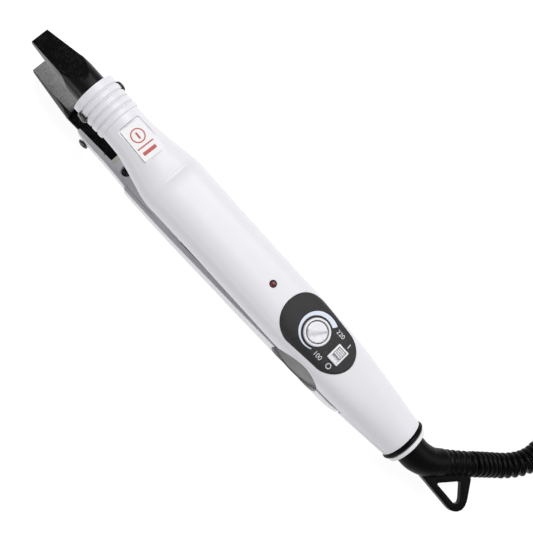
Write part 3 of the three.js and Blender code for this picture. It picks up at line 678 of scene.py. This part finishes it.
# x, centre z, half width, height above and below the centre, squareness
CREASE = (CREASE_X, BODY_Z + 0.3, 14.7, 13.0, 12.4, 2.7)
REAR_BODY = [
    (0, BODY_Z, 10.8, 10.8, 10.8, 2), (8, BODY_Z, 11.6, 11.8, 11.4, 2.1),
    (18, BODY_Z, 12.5, 13.0, 12, 2.35), (28, BODY_Z, 13.2, 13.9, 12.6, 2.7),
    (40, BODY_Z, 13.9, 14.5, 13, 3.2), (56, BODY_Z, 14.3, 15.0, 13, 3.6),
    (80, BODY_Z, 14.6, 15.2, 13, 3.4), (110, BODY_Z, 14.6, 15.2, 13, 3.1),
    (140, BODY_Z, 14.7, 15.1, 13, 3.0), (148, BODY_Z, 14.8, 15.0, 13, 3.0),
    (152, BODY_Z, 14.9, 14.35, 13, 2.9), CREASE,
]
NECK_BODY = [
    CREASE, (158, BODY_Z + 1.3, 14.2, 12.4, 12, 2.5), (163, BODY_Z + 3.0, 12.9, 11.1, 11.2, 2.3),
    (170, BODY_Z + 5.0, 11.4, 9.9, 10.4, 2.15), (178, BAR_Z, 10.1, 9.3, 9.9, 2.05),
    (NECK_END, BAR_Z, NECK_RADIUS, NECK_RADIUS, NECK_RADIUS, 2),
]
RIB_START, RIB_COUNT, RIB_PITCH, RIB_GROOVE = 187.0, 5, 3.35, 0.45


def collar_radius(x):
    """Ribbed collar: five rounded lands with narrow grooves between them."""
    u = (x - RIB_START) % RIB_PITCH
    rib = int((x - RIB_START) // RIB_PITCH)
    if rib < 0:
        return NECK_RADIUS
    land = RIB_PITCH - RIB_GROOVE
    if rib >= RIB_COUNT - 1:
        u = min(x - RIB_START - (RIB_COUNT - 1) * RIB_PITCH, land / 2)
    if u > land:
        return COLLAR_RADIUS - 0.75
    edge = min(u, land - u)
    rise = math.sqrt(max(0, 1 - (1 - min(edge / 0.4, 1)) ** 2))
    return COLLAR_RADIUS - 0.7 * (1 - rise) - 0.16 * (1 - min(edge / (land / 2), 1)) ** 2


def handle_station(x):
    """Section of the handle at x, with a small bead along the crease."""
    if x < NECK_END:
        row = smooth_table(REAR_BODY if x < CREASE_X else NECK_BODY, x)
        row[2] += 0.3 * math.exp(-((x - CREASE_X) / 0.55) ** 2)
        return row
    r = collar_radius(x)
    return np.array([BAR_Z, r, r, r, 2])


def body_top(x, y):
    zc, a, up, _, n = handle_station(x)
    return zc + up * max(0.0, 1 - abs(y / a) ** n) ** (1 / n)


def superellipse(theta, half_width, up, down, squareness):
    """Points of a superellipse whose upper and lower halves may differ in height."""
    c, s = np.cos(theta), np.sin(theta)
    y = half_width * np.sign(c) * np.abs(c) ** (2 / squareness)
    z = np.where(s > 0, up, down) * np.sign(s) * np.abs(s) ** (2 / squareness)
    return y, z


def half_section(station, x, z_cut, keep_top=True, inset=0.0, corner=0.35, count=72):
    """Closed D-shaped ring: the superellipse above or below z_cut, with softened corners at the cut."""
    centre, half_width, up, down, squareness = station
    half_turn = 1200
    theta = np.linspace(-math.pi / 2, 3 * math.pi / 2, 2 * half_turn + 1)
    y, z = superellipse(theta, half_width - inset, up - inset, down - inset, squareness)
    z = z + centre
    if keep_top:
        keep = z > z_cut + corner
    else:
        y, z = np.roll(y, half_turn), np.roll(z, half_turn)
        keep = z < z_cut - corner
    arc = resample(np.stack([y[keep], z[keep]], 1), count)
    rise = corner if keep_top else -corner
    lips = []
    for end in (arc[-1], arc[0]):
        inward = -math.copysign(corner, end[0])
        lips.append([(end[0] + inward * (1 - math.cos(t)), z_cut + rise * (1 - math.sin(t)))
                     for t in (math.pi / 6, math.pi / 3, math.pi / 2)])
    near, far = lips[0], lips[1][::-1]
    flat = [near[-1] + (np.array(far[0]) - np.array(near[-1])) * t for t in (0.25, 0.5, 0.75)]
    return [(x, float(v), float(w)) for v, w in [*arc, *near, *flat, *far]]


def spaced(*spans):
    """X positions from (start, end, step) spans, each running into the next."""
    out = []
    for start, end, step in spans:
        out += list(np.linspace(start, end, max(2, round((end - start) / step) + 1))[:-1])
    return out + [spans[-1][1]]


BODY_SPANS = ((0.6, 8, 1.0), (8, 60, 1.6), (60, 140, 2.5), (140, 153.5, 0.75), (153.5, 156.5, 0.15),
              (156.5, 186.4, 0.9))
COLLAR_SPANS = ((NECK_END, 203.4, 0.14),)


def body_loft(x0, x1, z_cut, keep_top=True, spans=BODY_SPANS, **section):
    """Half of the handle's outer form, above or below z_cut, between two stations."""
    xs = [x for x in spaced(*spans) if x0 + 0.01 < x < x1 - 0.01]
    return skin([half_section(handle_station(x), x, z_cut, keep_top, **section) for x in [x0, *xs, x1]])


def panel_outline(grow=0.0):
    """Egg-shaped outline of the fascia, wider towards the knob, grown by a clearance."""
    count = 40
    front, rear, wide, narrow, wide_x, narrow_x = 82.2, 42.3, 12.2, 10.8, 69.5, 53.5
    g = grow
    curves = [
        ((wide_x, -wide - g), (wide_x + 7.4, -wide - g), (front + g, -7.6), (front + g, 0)),
        ((front + g, 0), (front + g, 7.6), (wide_x + 7.4, wide + g), (wide_x, wide + g)),
        ((narrow_x, narrow + g), (narrow_x - 5.6, narrow + g), (rear - g, 5.8), (rear - g, 0)),
        ((rear - g, 0), (rear - g, -5.8), (narrow_x - 5.6, -narrow - g), (narrow_x, -narrow - g)),
    ]
    pts = []
    for curve in curves:
        p = [np.array(q, float) for q in curve]
        for t in np.linspace(0, 1, count, endpoint=False):
            pts.append((1 - t)**3 * p[0] + 3 * (1 - t)**2 * t * p[1] + 3 * (1 - t) * t * t * p[2]
                       + t**3 * p[3] + (0, PANEL_Y))
    return resample(pts, 4 * count, closed=True)


def draped(outline, low, high, rounding=0.0):
    """Plate over the body's top surface inside an outline, from low to high above that surface."""
    rings = 14
    centre = outline.mean(axis=0)
    size = np.linalg.norm(outline - centre, axis=1).mean()
    edge = [(1.0, low), (1.0, high)]
    if rounding:
        edge[1:] = [(1 - rounding / size * (1 - math.cos(t)), high - rounding * (1 - math.sin(t)))
                    for t in np.linspace(0, math.pi / 2, 4)]
    under = [(k / rings, low) for k in range(1, rings)]
    over = [(edge[-1][0] * (1 - k / rings), high) for k in range(1, rings)]
    bands = under + edge + over
    points = [(x, y, body_top(x, y) + lift)
              for scale, lift in bands for x, y in centre + (outline - centre) * scale]
    faces, count = [], len(outline)
    for start in range(0, (len(bands) - 1) * count, count):
        faces += [(start + j, start + (j + 1) % count, start + count + (j + 1) % count, start + count + j)
                  for j in range(count)]
    for start, lift in ((0, low), ((len(bands) - 1) * count, high)):
        faces += [(start + j, start + (j + 1) % count, len(points)) for j in range(count)]
        points.append((*centre, body_top(*centre) + lift))
    return solid(points, faces)


# ---- handle -------------------------------------------------------------------------------
def cap_notches():
    return side_rods(CAP_RADIUS + 0.45, 15.5, 4.5, PIVOT_X, PIVOT_Z, 96)


def upper_shell():
    """Hollow upper half with the ribbed collar and its openings for panel, controls, bar and label."""
    shell = body_loft(0.0, COLLAR_FRONT, SEAM_Z, spans=BODY_SPANS + COLLAR_SPANS)
    cut(shell, body_loft(HOLLOW_X, 160, SEAM_Z - 2, inset=SHELL_WALL, corner=0.2, count=48),
        rod("x", SHANK_RADIUS + 1.2, 156, 190, 0, BAR_Z),
        rod("x", BAR_RADIUS + 1.4, NECK_END - 1, COLLAR_FRONT + 1, 0, BAR_Z, 96),
        rod("x", BARREL_BORE, -1, 3, 0, BODY_Z),
        *cap_notches(),
        draped(panel_outline(GAP * 0.5), -PANEL_SINK, 4.0),
        rod("z", 6.6, 28, 40, KNOB_X, 0),
        box(SWITCH_X - 3.4, SWITCH_X + 3.4, -4.4, 4.4, 28, 40),
        rod("z", 1.75, 30, 40, LED_X, 0),
        rounded_box(165.2, 183.4, -5.9, 5.9, LABEL_Z, 40, 1.2),
        *side_rods(SCREW_BORE, 9, 3, UPPER_SCREW_X, BAR_Z, 24))
    lay_out(shell, "upper_shell_skin", "handle", "white_shell", HANDLE, "upper_shell", smooth=32)


def lower_cover():
    """Closing plate inside the shell, with the rounded rear lower half and the hinge boss."""
    low, top, front, boss = SEAM_Z - GAP, 24.6, 156.0, 9.4
    plate = body_loft(29, front, low, inset=SHELL_WALL + GAP, corner=0.1, count=48)
    common(plate, box(28, front + 1, -20, 20, low - 1, top))
    cut(plate, *[box(40, 72, side * 14.7 - 5.3, side * 14.7 + 5.3, 0, 40) for side in (-1, 1)])
    rear = body_loft(0.0, 28, low, False)
    cut(rear, prism([(24.2, 0), (28.6, low + 1), (40, low + 1), (40, 0)], "y", -30, 30),
        body_loft(HOLLOW_X, 22.6, low + 2, False, inset=SHELL_WALL, corner=0.1, count=48),
        rod("x", BARREL_BORE, -1, 3, 0, BODY_Z))
    join(plate, rear, box(23.5, 28, -8, 8, low - 1, top), box(27, 34, -8, 8, low, top),
         rod("y", 6, -boss, boss, PIVOT_X, PIVOT_Z), box(PIVOT_X - 4, PIVOT_X + 4, -boss, boss, PIVOT_Z, top))
    cut(plate, rod("y", 2.8, -12, 12, PIVOT_X, PIVOT_Z), box(46, 90, -4.6, 4.6, 5, 26))
    lay_out(plate, "lower_cover_skin", "handle", "white_shell", HANDLE, "lower_cover", smooth=32)


def control_panel():
    plate = draped(panel_outline(), -PANEL_SINK + 0.02, PANEL_PROUD, 0.3)
    cut(plate, rod("z", 6.5, 28, 42, KNOB_X, 0, 96),
        rounded_box(SWITCH_X - 3.1, SWITCH_X + 3.1, -4.05, 4.05, 28, 42, 0.3))
    lay_out(plate, "control_panel_face", "handle", "panel_grey", HANDLE, "control_panel", smooth=32)


def on_panel(obj, name, material):
    """Drapes thin marks drawn flat at z = 0 over the panel's face."""
    for v in obj.data.vertices:
        v.co.z += body_top(v.co.x, v.co.y) + PANEL_PROUD
    lay_out(obj, name, "handle", "white_trim", HANDLE, material=material)


def dial_scale():
    """Tapered arc round the knob, thin at the low end and thick at the high end."""
    steps, inner = 64, 7.35
    rings = []
    for i in range(steps + 1):
        t = i / steps
        a = math.radians(116.4 + (240.4 - 360 - 116.4) * t)
        r0, r1 = inner, inner + 0.4 + 2.2 * t**1.1
        at = lambda r, z: (KNOB_X + r * math.cos(a), r * math.sin(a), z)
        rings.append([at(r0, -0.05), at(r0, 0.05), at((r0 + r1) / 2, 0.06), at(r1, 0.05), at(r1, -0.05)])
    on_panel(skin(rings), "dial_scale", SCALE_PRINT)


def text_solid(words, size, x, y):
    """Raised print that reads towards the rear, with its top towards the right side."""
    data = bpy.data.curves.new("words", "FONT")
    data.body = words
    data.size = size
    data.extrude = 0.04
    data.resolution_u = 4
    data.align_x, data.align_y = "CENTER", "CENTER"
    text = link(bpy.data.objects.new("words", data))
    dg = bpy.context.evaluated_depsgraph_get()
    me = bpy.data.meshes.new_from_object(text.evaluated_get(dg))
    bpy.data.objects.remove(text)
    bpy.data.curves.remove(data)
    obj = link(bpy.data.objects.new("words", me))
    for v in me.vertices:
        v.co = (x - v.co.x, y - v.co.y, v.co.z)
    return obj


def panel_marks():
    on_panel(text_solid("220", 3.0, 55.6, -7.2), "mark_220", MARK_PRINT)
    on_panel(text_solid("100", 3.0, 56.4, 6.8), "mark_100", MARK_PRINT)
    on_panel(box(49.1, 49.5, -7.6, -5.3, -0.05, 0.05), "mark_on", MARK_PRINT)
    section = ((0.95, -0.05), (0.95, 0.05), (1.3, 0.05), (1.3, -0.05))
    on_panel(washer(49.8, 6.3, section, 32), "mark_off", MARK_PRINT)


def knob():
    """Bezel ring and the turning knob with its tapered grip."""
    at = shift(KNOB_X, 0, PANEL_TOP)
    bezel = soften([(5.15, -1.6), (6.3, -1.6), (6.3, 0.35), (6.0, 0.8), (5.3, 0.8), (5.15, 0.55)], 0.18)
    lay_out(lathe(bezel, 96, at), "knob_bezel_ring", "handle", "white_trim", HANDLE, "knob_bezel")
    profile = [(0, -2.6), (1.6, -2.6), (1.6, -1.2), (4.75, -1.2), (4.75, 0.55)]
    profile += [(4.75 - 0.5 * (1 - math.cos(t)), 0.05 + 0.5 * math.sin(t))
                for t in np.linspace(0.3, math.pi / 2, 6)]
    profile += [(3.2, 0.5), (1.6, 0.45), (0, 0.45)]
    disc = lathe(profile, 96)
    # The grip rises gently on one flank and drops steeply on the other.
    rings = []
    for x in np.linspace(-4.35, 4.45, 23):
        w = 1.75 - 1.15 * (x + 4.35) / 8.8
        top = 2.05 - 0.5 * (abs(x) / 4.45) ** 4
        section = [(-w - 0.5, 0.3), (-w * 0.7, 0.8), (-w * 0.2, top - 0.35), (w * 0.45, top - 0.03),
                   (w * 0.85, top - 0.1), (w, top - 0.35), (w + 0.08, 0.3)]
        rings.append([(x, y, z) for y, z in section])
    ridge = skin(rings)
    common(ridge, lathe([(0, 0.2), (4.55, 0.2), (4.55, 1.0), (4.3, 1.55), (3.6, 1.95), (0, 2.15)], 96))
    join(disc, ridge)
    turned = HANDLE @ at @ rotate(-130, "Z")
    lay_out(disc, "temperature_knob_top", "knob", "white_trim", turned, "temperature_knob")


def switch():
    """Frame, floor and ribbed slider of the slide switch."""
    at = HANDLE @ shift(SWITCH_X, 0, PANEL_TOP)
    frame_box = rounded_box(-3.0, 3.0, -3.95, 3.95, -1.6, 0.6, 0.35)
    bevel(frame_box, 0.15)
    cut(frame_box, rounded_box(-2.2, 2.2, -3.15, 3.15, -3, 3, 0.2))
    lay_out(frame_box, "switch_frame", "handle", "white_trim", at, "switch_bezel")
    well = rounded_box(-2.15, 2.15, -3.1, 3.1, -1.5, -0.9, 0.2)
    lay_out(well, "switch_well", "handle", "white_trim", at)
    slider = rounded_box(-1.85, 1.85, -1.7, 1.7, -2.2, -0.1, 0.15)
    rib_places = (-1.38, -0.46, 0.46, 1.38)
    join(slider, *[bevel(box(-1.85, 1.85, y - 0.3, y + 0.3, -0.4, 0.85), 0.14) for y in rib_places])
    shifted = at @ shift(0, -1.0, 0)
    lay_out(slider, "switch_slider_top", "switch", "white_trim", shifted, "switch_slider")


def lamp():
    radius, edge, dome = 1.3, 0.05, 1.05
    profile = [(0, -6.5), (radius, -6.5), (radius, edge)]
    profile += [(radius * math.cos(t), edge + dome * math.sin(t))
                for t in np.linspace(0.15, math.pi / 2 - 0.1, 9)]
    lens = lathe(profile + [(0, edge + dome)], 40, shift(LED_X, 0, PANEL_TOP - 0.5))
    lay_out(lens, "lamp_lens", "handle", "red_lens", HANDLE, "led_lens")


JAW_PLAN = [(207, 9), (209.5, 8.3), (212, 7.4), (215.5, 6.55), (219, 5.9)]


def jaw_plan(tip, rear):
    half = [(rear, 9)] + JAW_PLAN + [(tip + 1, 4.2)]
    return half + [(x, -y) for x, y in half[::-1]]


def screw_bores(x, z):
    return side_rods(1.5, BAR_RADIUS + 0.5, 2.5, x, z, 24)


def upper_jaw():
    """Round bar milled to a chisel, sloped on top and flat underneath."""
    bar = join(rod("x", SHANK_RADIUS, 164, 188, 0, BAR_Z),
               rod("x", BAR_RADIUS, NECK_END, TIP_X, 0, BAR_Z, 96))
    slope = [(208.5, BAR_Z + BAR_RADIUS), (TIP_X + 1, SEAL_Z + 2.4), (TIP_X + 1, 50), (208.5, 50)]
    common(bar, prism(jaw_plan(TIP_X, 150), "z", 0, 60))
    cut(bar, prism(slope, "y", -20, 20), box(COLLAR_FRONT + 1, TIP_X + 30, -20, 20, 0, SEAL_Z))
    bevel(bar, 0.35, 3, 28)
    cut(bar, rod("x", HEATER_RADIUS + GAP, 150, 215, 0, BAR_Z), *screw_bores(UPPER_SCREW_X, BAR_Z))
    paint(bar, MATERIALS["coated_metal"], SMOOTH_BLACK,
          lambda face: face.normal.z <= 0.9 or face.center.x <= 210 or face.area <= 20)
    lay_out(bar, "upper_jaw", "handle", "coated_metal", HANDLE, "upper_jaw_bar", smooth=26)


def lower_jaw():
    """Its counterpart, flat on top and sloped underneath."""
    bar = rod("x", BAR_RADIUS, 183.2, LOWER_TIP_X, 0, LOWER_BAR_Z, 96)
    end = LOWER_TIP_X + 1
    under = [(212, LOWER_BAR_Z - BAR_RADIUS), (end, SEAL_Z - 2.6), (end, -20), (212, -20)]
    common(bar, prism(jaw_plan(LOWER_TIP_X, 180), "z", -20, 60))
    cut(bar, prism(under, "y", -20, 20), box(150, LOWER_TIP_X + 5, -20, 20, SEAL_Z - GAP, 60),
        box(150, 211, -20, 20, 17.6, 60))
    bevel(bar, 0.3, 3, 28)
    cut(bar, rod("x", HEATER_RADIUS, 150, 208, 0, LOWER_BORE_Z), *screw_bores(LOWER_SCREW_X, LOWER_SCREW_Z))
    # The top faces take the sealing face, with its painted reflection towards the tip and painted shadow
    # under the upper arm.
    paint(bar, MATERIALS["coated_metal"], SEALING_FACE,
          lambda face: face.normal.z > 0.9 and face.center.z > SEAL_Z - GAP - 0.2)
    lay_out(bar, "lower_jaw", "lever", "coated_metal", LEVER, "lower_jaw_bar", smooth=26)


def label():
    """Plain white sticker in the sunken pad, with a ring, a bar, a line and a stripe as generic red marks."""
    z = LABEL_Z + GAP
    low, high = z + 0.1, z + 0.25
    turn = shift(174.2, 0.3, 0) @ rotate(-2.5, "Z")
    sticker = rounded_box(-8.2, 8.2, -5.0, 5.0, z, z + 0.2, 0.6)
    sticker.data.transform(turn)
    lay_out(sticker, "sticker", "handle", "label", HANDLE, "label_plate")
    marks = {
        "mark_ring": (2.6, washer(0, 0, ((2.75, low), (2.75, high), (3.3, high), (3.3, low)), 48)),
        "mark_bar": (2.6, rounded_box(-1.6, 1.6, -0.45, 0.45, low, high, 0.3)),
        "mark_line": (-2.4, rounded_box(-0.3, 0.3, -4.2, 4.2, low, high, 0.2)),
        "mark_stripe": (-5.2, rounded_box(-0.8, 0.8, -3.4, 3.4, low, high, 0.3)),
    }
    for name, (x, obj) in marks.items():
        obj.data.transform(turn @ shift(x, 0, 0))
        lay_out(obj, name, "handle", "label", HANDLE, material=RED_PRINT)


def rear_ring():
    section = [(10.35 + 1.05 * math.cos(b), 1.05 * math.sin(b)) for b in round_angles(20)]
    ring = washer(0, 0, section, 96)
    ring.data.transform(shift(-1.4, 0, BODY_Z) @ rotate(90, "Y"))
    lay_out(ring, "rear_seal_ring", "handle", "black_rubber", HANDLE, "rear_o_ring")


def screw_head(radius, height, shank, depth, steps, sides):
    """Domed screw head that sits on z = 0, with its shank below."""
    dome = [(radius * math.cos(t) ** 0.6, height * math.sin(t))
            for t in np.linspace(0.2, math.pi / 2 - 0.12, steps)]
    return lathe([(0, -depth), (shank, -depth), (shank, 0), (radius, 0), *dome, (0, height)], sides)


def side_screw(name, body, matrix, x, z, side, seat, depth, replaces):
    head = screw_head(2.7, 1.25, 1.1, depth, 8, 48)
    cut(head, box(-3, 3, -0.34, 0.34, 0.75, 3))
    turn = rotate(-90 * side, "X")
    place = shift(x, side * seat, z) @ Matrix.Rotation(0.5, 4, "Y") @ turn
    lay_out(head, name, body, "screw_black", matrix @ place, replaces, smooth=30)


# ---- lever --------------------------------------------------------------------------------
LEVER_ROWS = [
    (LEVER_REAR, 13.2, 3.6), (31.5, 13.8, 1.2), (36, 14.3, 0.2), (56, 14.6, 0), (90, 14.6, 0), (110, 14.4, 0),
    (140, 14.1, 0), (154, 13.7, 0), (167.4, 13.1, 0), (168.2, 12.2, 0), (181, 10.9, 0), (192, 10.4, 0),
    (198, 10.1, 0.4), (201, 9.8, 1.6), (NOSE_X, 9.3, 3.2),
]
BELOW_FLAT = 0.45
REAR_LIP = 17.4
LEVER_SPANS = ((LEVER_REAR, 36, 0.6), (36, 166, 2.5), (166, 170, 0.25), (170, 196, 2.0), (196, NOSE_X, 0.5))


def lever_lip(x):
    low, high = REAR_LIP - 1.6, LIP_Z - GAP
    return min(high, low + (high - low) * (x - 20) / (PIVOT_X - 20))


def lever_ring(x, inset=0.0, z_cut=None, corner=0.3, count=72):
    a, lift = smooth_table(LEVER_ROWS, x)
    bottom = lever_bottom(x)
    station = (LIP_Z - GAP, a, 2, LIP_Z - GAP - bottom + BELOW_FLAT - lift, 3.2)
    ring = half_section(station, x, lever_lip(x) if z_cut is None else z_cut, False, inset, corner, count)
    return [(px, y, max(z, bottom)) for px, y, z in ring] if inset == 0 else ring


def lever_loft(x0, x1, **kw):
    xs = [x for x in spaced(*LEVER_SPANS) if x0 + 0.01 < x < x1 - 0.01]
    return skin([lever_ring(x, **kw) for x in [x0] + xs + [x1]])


def lever_shell():
    """Trough of the lever, open for the lower bar and notched for the pivot covers."""
    shell = lever_loft(LEVER_REAR, NOSE_X)
    cut(shell, lever_loft(LEVER_REAR + 2, 186, inset=LEVER_WALL, z_cut=LIP_Z + 4, corner=0.1, count=48),
        rod("x", BAR_RADIUS + GAP, 179, NOSE_X + 5, 0, LOWER_BAR_Z, 96),
        box(179, NOSE_X + 5, -BAR_RADIUS - GAP, BAR_RADIUS + GAP, LOWER_BAR_Z, 40),
        *cap_notches(),
        *side_rods(SCREW_BORE, 9, 3, LOWER_SCREW_X, LOWER_SCREW_Z, 24))
    lay_out(shell, "lever_shell_skin", "lever", "white_shell", LEVER, "lever_shell", smooth=32)


HOLDER_REAR, HOLDER_FRONT, HOLDER_TOP = 132.0, 185.4, LIP_Z - GAP


def lever_insert():
    """Insert that holds the lower bar, flush with the lever's lips."""
    inset = LEVER_WALL + GAP * 0.6
    slab = lever_loft(HOLDER_REAR, HOLDER_FRONT, inset=inset, z_cut=HOLDER_TOP, corner=0.25)
    cut(slab, box(HOLDER_REAR - 1, 154, -20, 20, -10, HOLDER_TOP - 5))
    bore = [rod("z", 2.7, HOLDER_TOP - 1.6, 40, 173, side * 6.4, 48) for side in (-1, 1)]
    hole = [rod("z", 1.3, HOLDER_TOP - 9, 40, 173, side * 6.4, 24) for side in (-1, 1)]
    cut(slab, rod("x", BAR_RADIUS + GAP, 179.3, 190, 0, LOWER_BAR_Z, 96),
        box(179.3, 190, -BAR_RADIUS - GAP, BAR_RADIUS + GAP, LOWER_BAR_Z, 40),
        box(150, 181, -3, 3, 0, LOWER_BAR_Z - 1), *bore, *hole)
    lay_out(slab, "lever_insert", "lever", "white_shell", LEVER, "lever_inner_cover", smooth=32)


def pivot_cap(side, word):
    """Round cover with a raised rim, a shallow groove inside it and a slightly crowned middle."""
    depth, r = CAP_OUT - CAP_IN, CAP_RADIUS
    profile = [(0, 0), (r, 0), (r, depth - 0.5), (r - 0.15, depth - 0.15), (r - 0.5, depth), (r - 1.5, depth),
               (r - 1.8, depth - 0.15), (r - 2.0, depth - 0.35), (r - 5, depth - 0.22), (0, depth - 0.1)]
    turn = rotate(-90 * side, "X")
    disc = lathe(profile, 128, shift(PIVOT_X, side * CAP_IN, PIVOT_Z) @ turn)
    paint(disc, MATERIALS["cap_grey"], MATERIALS["black_plastic"],
          lambda face: math.hypot(face.center.x - PIVOT_X, face.center.z - PIVOT_Z) > r - 1.9)
    lay_out(disc, f"pivot_disc_{word}", "lever", "cap_grey", LEVER, f"pivot_cap_{word}", smooth=30)


def holder_screw(side, word):
    head = screw_head(2.3, 1.1, 1.0, 7, 7, 40)
    cut(head, box(-3, 3, -0.3, 0.3, 0.6, 3), box(-0.3, 0.3, -3, 3, 0.6, 3))
    place = shift(173, side * 6.4, HOLDER_TOP - 1.3) @ Matrix.Rotation(0.4, 4, "Z")
    lay_out(head, f"holder_screw_head_{word}", "lever", "screw_black", LEVER @ place, f"holder_screw_{word}",
            smooth=30)


# ---- swivel, elbow, plug ------------------------------------------------------------------
ELBOW_END = (-33.6, -16.6, 18.6)


def swivel_collar():
    profile = [(1.9, -14), (4.6, -14), (4.6, -3.6), (7.0, -3.6), (7.0, -2.6), (4.6, -2.6), (4.6, 2.9),
               (10.4, 2.9), (10.4, 4.5), (9.9, 4.9), (1.9, 4.9)]
    at = shift(0, 0, BODY_Z) @ rotate(-90, "Y")
    ring = lathe(soften(profile, 0.3), 96, at)
    lay_out(ring, "swivel_ring", "cord", "white_trim", HANDLE, "swivel_collar")


def elbow():
    """Rubber elbow that narrows into five ribs, with its hang loop."""
    route = [(-5.2, 0, BODY_Z), (-11, 0, BODY_Z), (-17.2, -2.2, 20.9), (-23, -7.2, 20.2), ELBOW_END]
    line = resample(catmull(route, 40), 121)
    radii = [7.7, 7.6, 7.2, 6.5, 6.1, 5.95, 5.9]
    _, normal, binormal = carried_frames(line)
    rings = []
    for i, centre in enumerate(line):
        t = i / 120
        along = (t - 0.56) / 0.44 * 5
        rib = 0.36 * min(along, 1) * (math.cos(2 * math.pi * along) - 1) if along > 0 else 0
        r = np.interp(t, np.linspace(0, 1, 7), radii) + rib
        if i == 0:
            r -= 0.3
        rings.append([tuple(centre + r * (math.cos(a) * normal[i] + math.sin(a) * binormal[i]))
                      for a in round_angles(56)])
    body = skin(rings)
    outline = [(-14, 4.6), (-39.0, 5.6), (-41.4, 5.2), (-43.4, 3.4), (-44.3, 1.2), (-44.2, -0.8),
               (-43.2, -3.4), (-37.4, -12.2), (-32.6, -12.6), (-20, -4)]
    loop = prism(soften(outline, 1.6, 5), "z", 18.2, 21.4)
    hole = [(-26.8, 1.9), (-39.6, 2.3), (-41.0, 0.4), (-40.3, -1.2), (-35.0, -7.4)]
    cut(loop, prism(soften(hole, 1.6, 6), "z", 10, 30))
    bevel(loop, 0.8, 4, 50)
    join(body, loop)
    lay_out(body, "cord_elbow", "cord", "black_rubber", HANDLE, "strain_relief_elbow", smooth=45)


def plug():
    """Body that widens towards the front, and two round pins with black sleeves."""
    length, wide, high = PLUG["length"], PLUG["wide"], PLUG["high"]
    rows = [(0, 2.3, 2.3, 2), (0.4, 2.6, 2.6, 2), (5, 3.2, 3.2, 2), (7, 4.2, 3.9, 2.1), (10, 6.5, 5.4, 2.4),
            (16, 10.2, 6.6, 3), (24, 12.2, high, 3.4), (length - 1.2, wide, high, 3.6),
            (length - 0.3, wide - 0.25, high - 0.25, 3.6), (length, wide - 0.8, high - 0.8, 3.6)]
    theta = round_angles(720)
    rings = []
    for x in spaced((0, 0.4, 0.4), (0.4, 24, 0.8), (24, length - 1.2, 2), (length - 1.2, length, 0.3)):
        a, b, n = smooth_table(rows, x)
        ring = resample(np.stack(superellipse(theta, a, b, b, n), 1), 64, closed=True)
        rings.append([(x, p[0], p[1]) for p in ring])
    front = PLUG["y"] - length - 2 * GAP
    place = shift(PLUG["x"], PLUG["y"] - GAP, PLUG["z"]) @ rotate(-90, "Z")
    pieces = [lay_out(skin(rings), "plug_shell", "cord", "black_plastic", TABLE @ place, "plug_body")]
    radius, straight = 2.0, 17.6
    profile = [(0, 0), (radius, 0), (radius, straight)]
    profile += [(radius * math.cos(t), straight + 1.4 * math.sin(t)) for t in (0.4, 0.8, 1.2)]
    profile.append((0, straight + 1.4))
    for side, word in ((1, "left"), (-1, "right")):
        at = shift(PLUG["x"] + side * 9.5, front, PLUG["z"]) @ rotate(90, "X")
        pin = lathe(profile, 32, at)
        paint(pin, MATERIALS["plug_metal"], MATERIALS["black_plastic"],
              lambda face: face.center.y > front - 9.5)
        pieces.append(lay_out(pin, f"plug_contact_{word}", "cord", "plug_metal", TABLE, f"plug_pin_{word}"))
    return pieces


# ---- build --------------------------------------------------------------------------------
plug_pieces = plug()
cord, cord_length = make_cord(MATERIALS["black_cord"])
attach(cord, "cord")
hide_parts("curly_cord", "cord_tail")

for piece in (upper_shell, lower_cover, control_panel, dial_scale, panel_marks, knob, switch, lamp, upper_jaw,
              lower_jaw, label, rear_ring, lever_shell, lever_insert):
    piece()
for side, word in ((1, "left"), (-1, "right")):
    side_screw(f"upper_screw_head_{word}", "handle", HANDLE, UPPER_SCREW_X, BAR_Z, side, COLLAR_RADIUS + 0.1,
               4.2, f"upper_clamp_screw_{word}")
    side_screw(f"lower_screw_head_{word}", "lever", LEVER, LOWER_SCREW_X, LOWER_SCREW_Z, side,
               LOWER_SCREW_SEAT, 3.4, f"lower_clamp_screw_{word}")
    pivot_cap(side, word)
    holder_screw(side, word)
swivel_collar()
elbow()

# CAD nodes that stay in sight or sit inside get the finish of their own slot.
for entry in frame["record"]["subparts"]:
    node = frame["nodes"][entry["node"]]
    node.data.materials.clear()
    node.data.materials.append(MATERIALS[entry["material_slot"]])


# ---- floor and light ----------------------------------------------------------------------
def floor():
    me = bpy.data.meshes.new("floor")
    bm = bmesh.new()
    bmesh.ops.create_grid(bm, x_segments=8, y_segments=8, size=3.0)
    bm.to_mesh(me)
    bm.free()
    obj = link(bpy.data.objects.new("floor", me))
    obj.location.z = -0.0002
    m = Nodes("floor_pale")
    m.set(Base_Color=m.mix(m.noise(3, 2), (0.14, 0.14, 0.14), (0.16, 0.16, 0.16)), Roughness=0.9)
    m.set(Specular_IOR_Level=0.1)
    m.set(Emission_Color=(1, 1, 1), Emission_Strength=0.925)
    me.materials.append(m.mat)


def area_light(name, place, target, size, power):
    data = bpy.data.lights.new(name, "AREA")
    data.shape = "RECTANGLE"
    data.size, data.size_y = size
    data.energy = power
    obj = link(bpy.data.objects.new(name, data))
    obj.location = place
    obj.rotation_mode = "QUATERNION"
    obj.rotation_quaternion = (Vector(target) - Vector(place)).to_track_quat("-Z", "Y")


def light():
    world = bpy.data.worlds.new("studio")
    bpy.context.scene.world = world
    world.use_nodes = True
    background = world.node_tree.nodes["Background"]
    background.inputs["Color"].default_value = (1, 1, 1, 1)
    background.inputs["Strength"].default_value = 0.34
    area_light("overhead", (0.10, -0.37, 0.85), (0.04, 0, 0), (0.6, 0.6), 7.3)
    area_light("rear_fill", (-0.5, -0.5, 0.6), (-0.05, 0, 0), (0.5, 0.5), 1.4)
    area_light("low_fill", (0.1, 0.7, 0.16), (0.05, 0, 0.02), (0.6, 0.15), 1.35)
    bpy.context.scene.view_settings.view_transform = "Standard"


floor()
light()
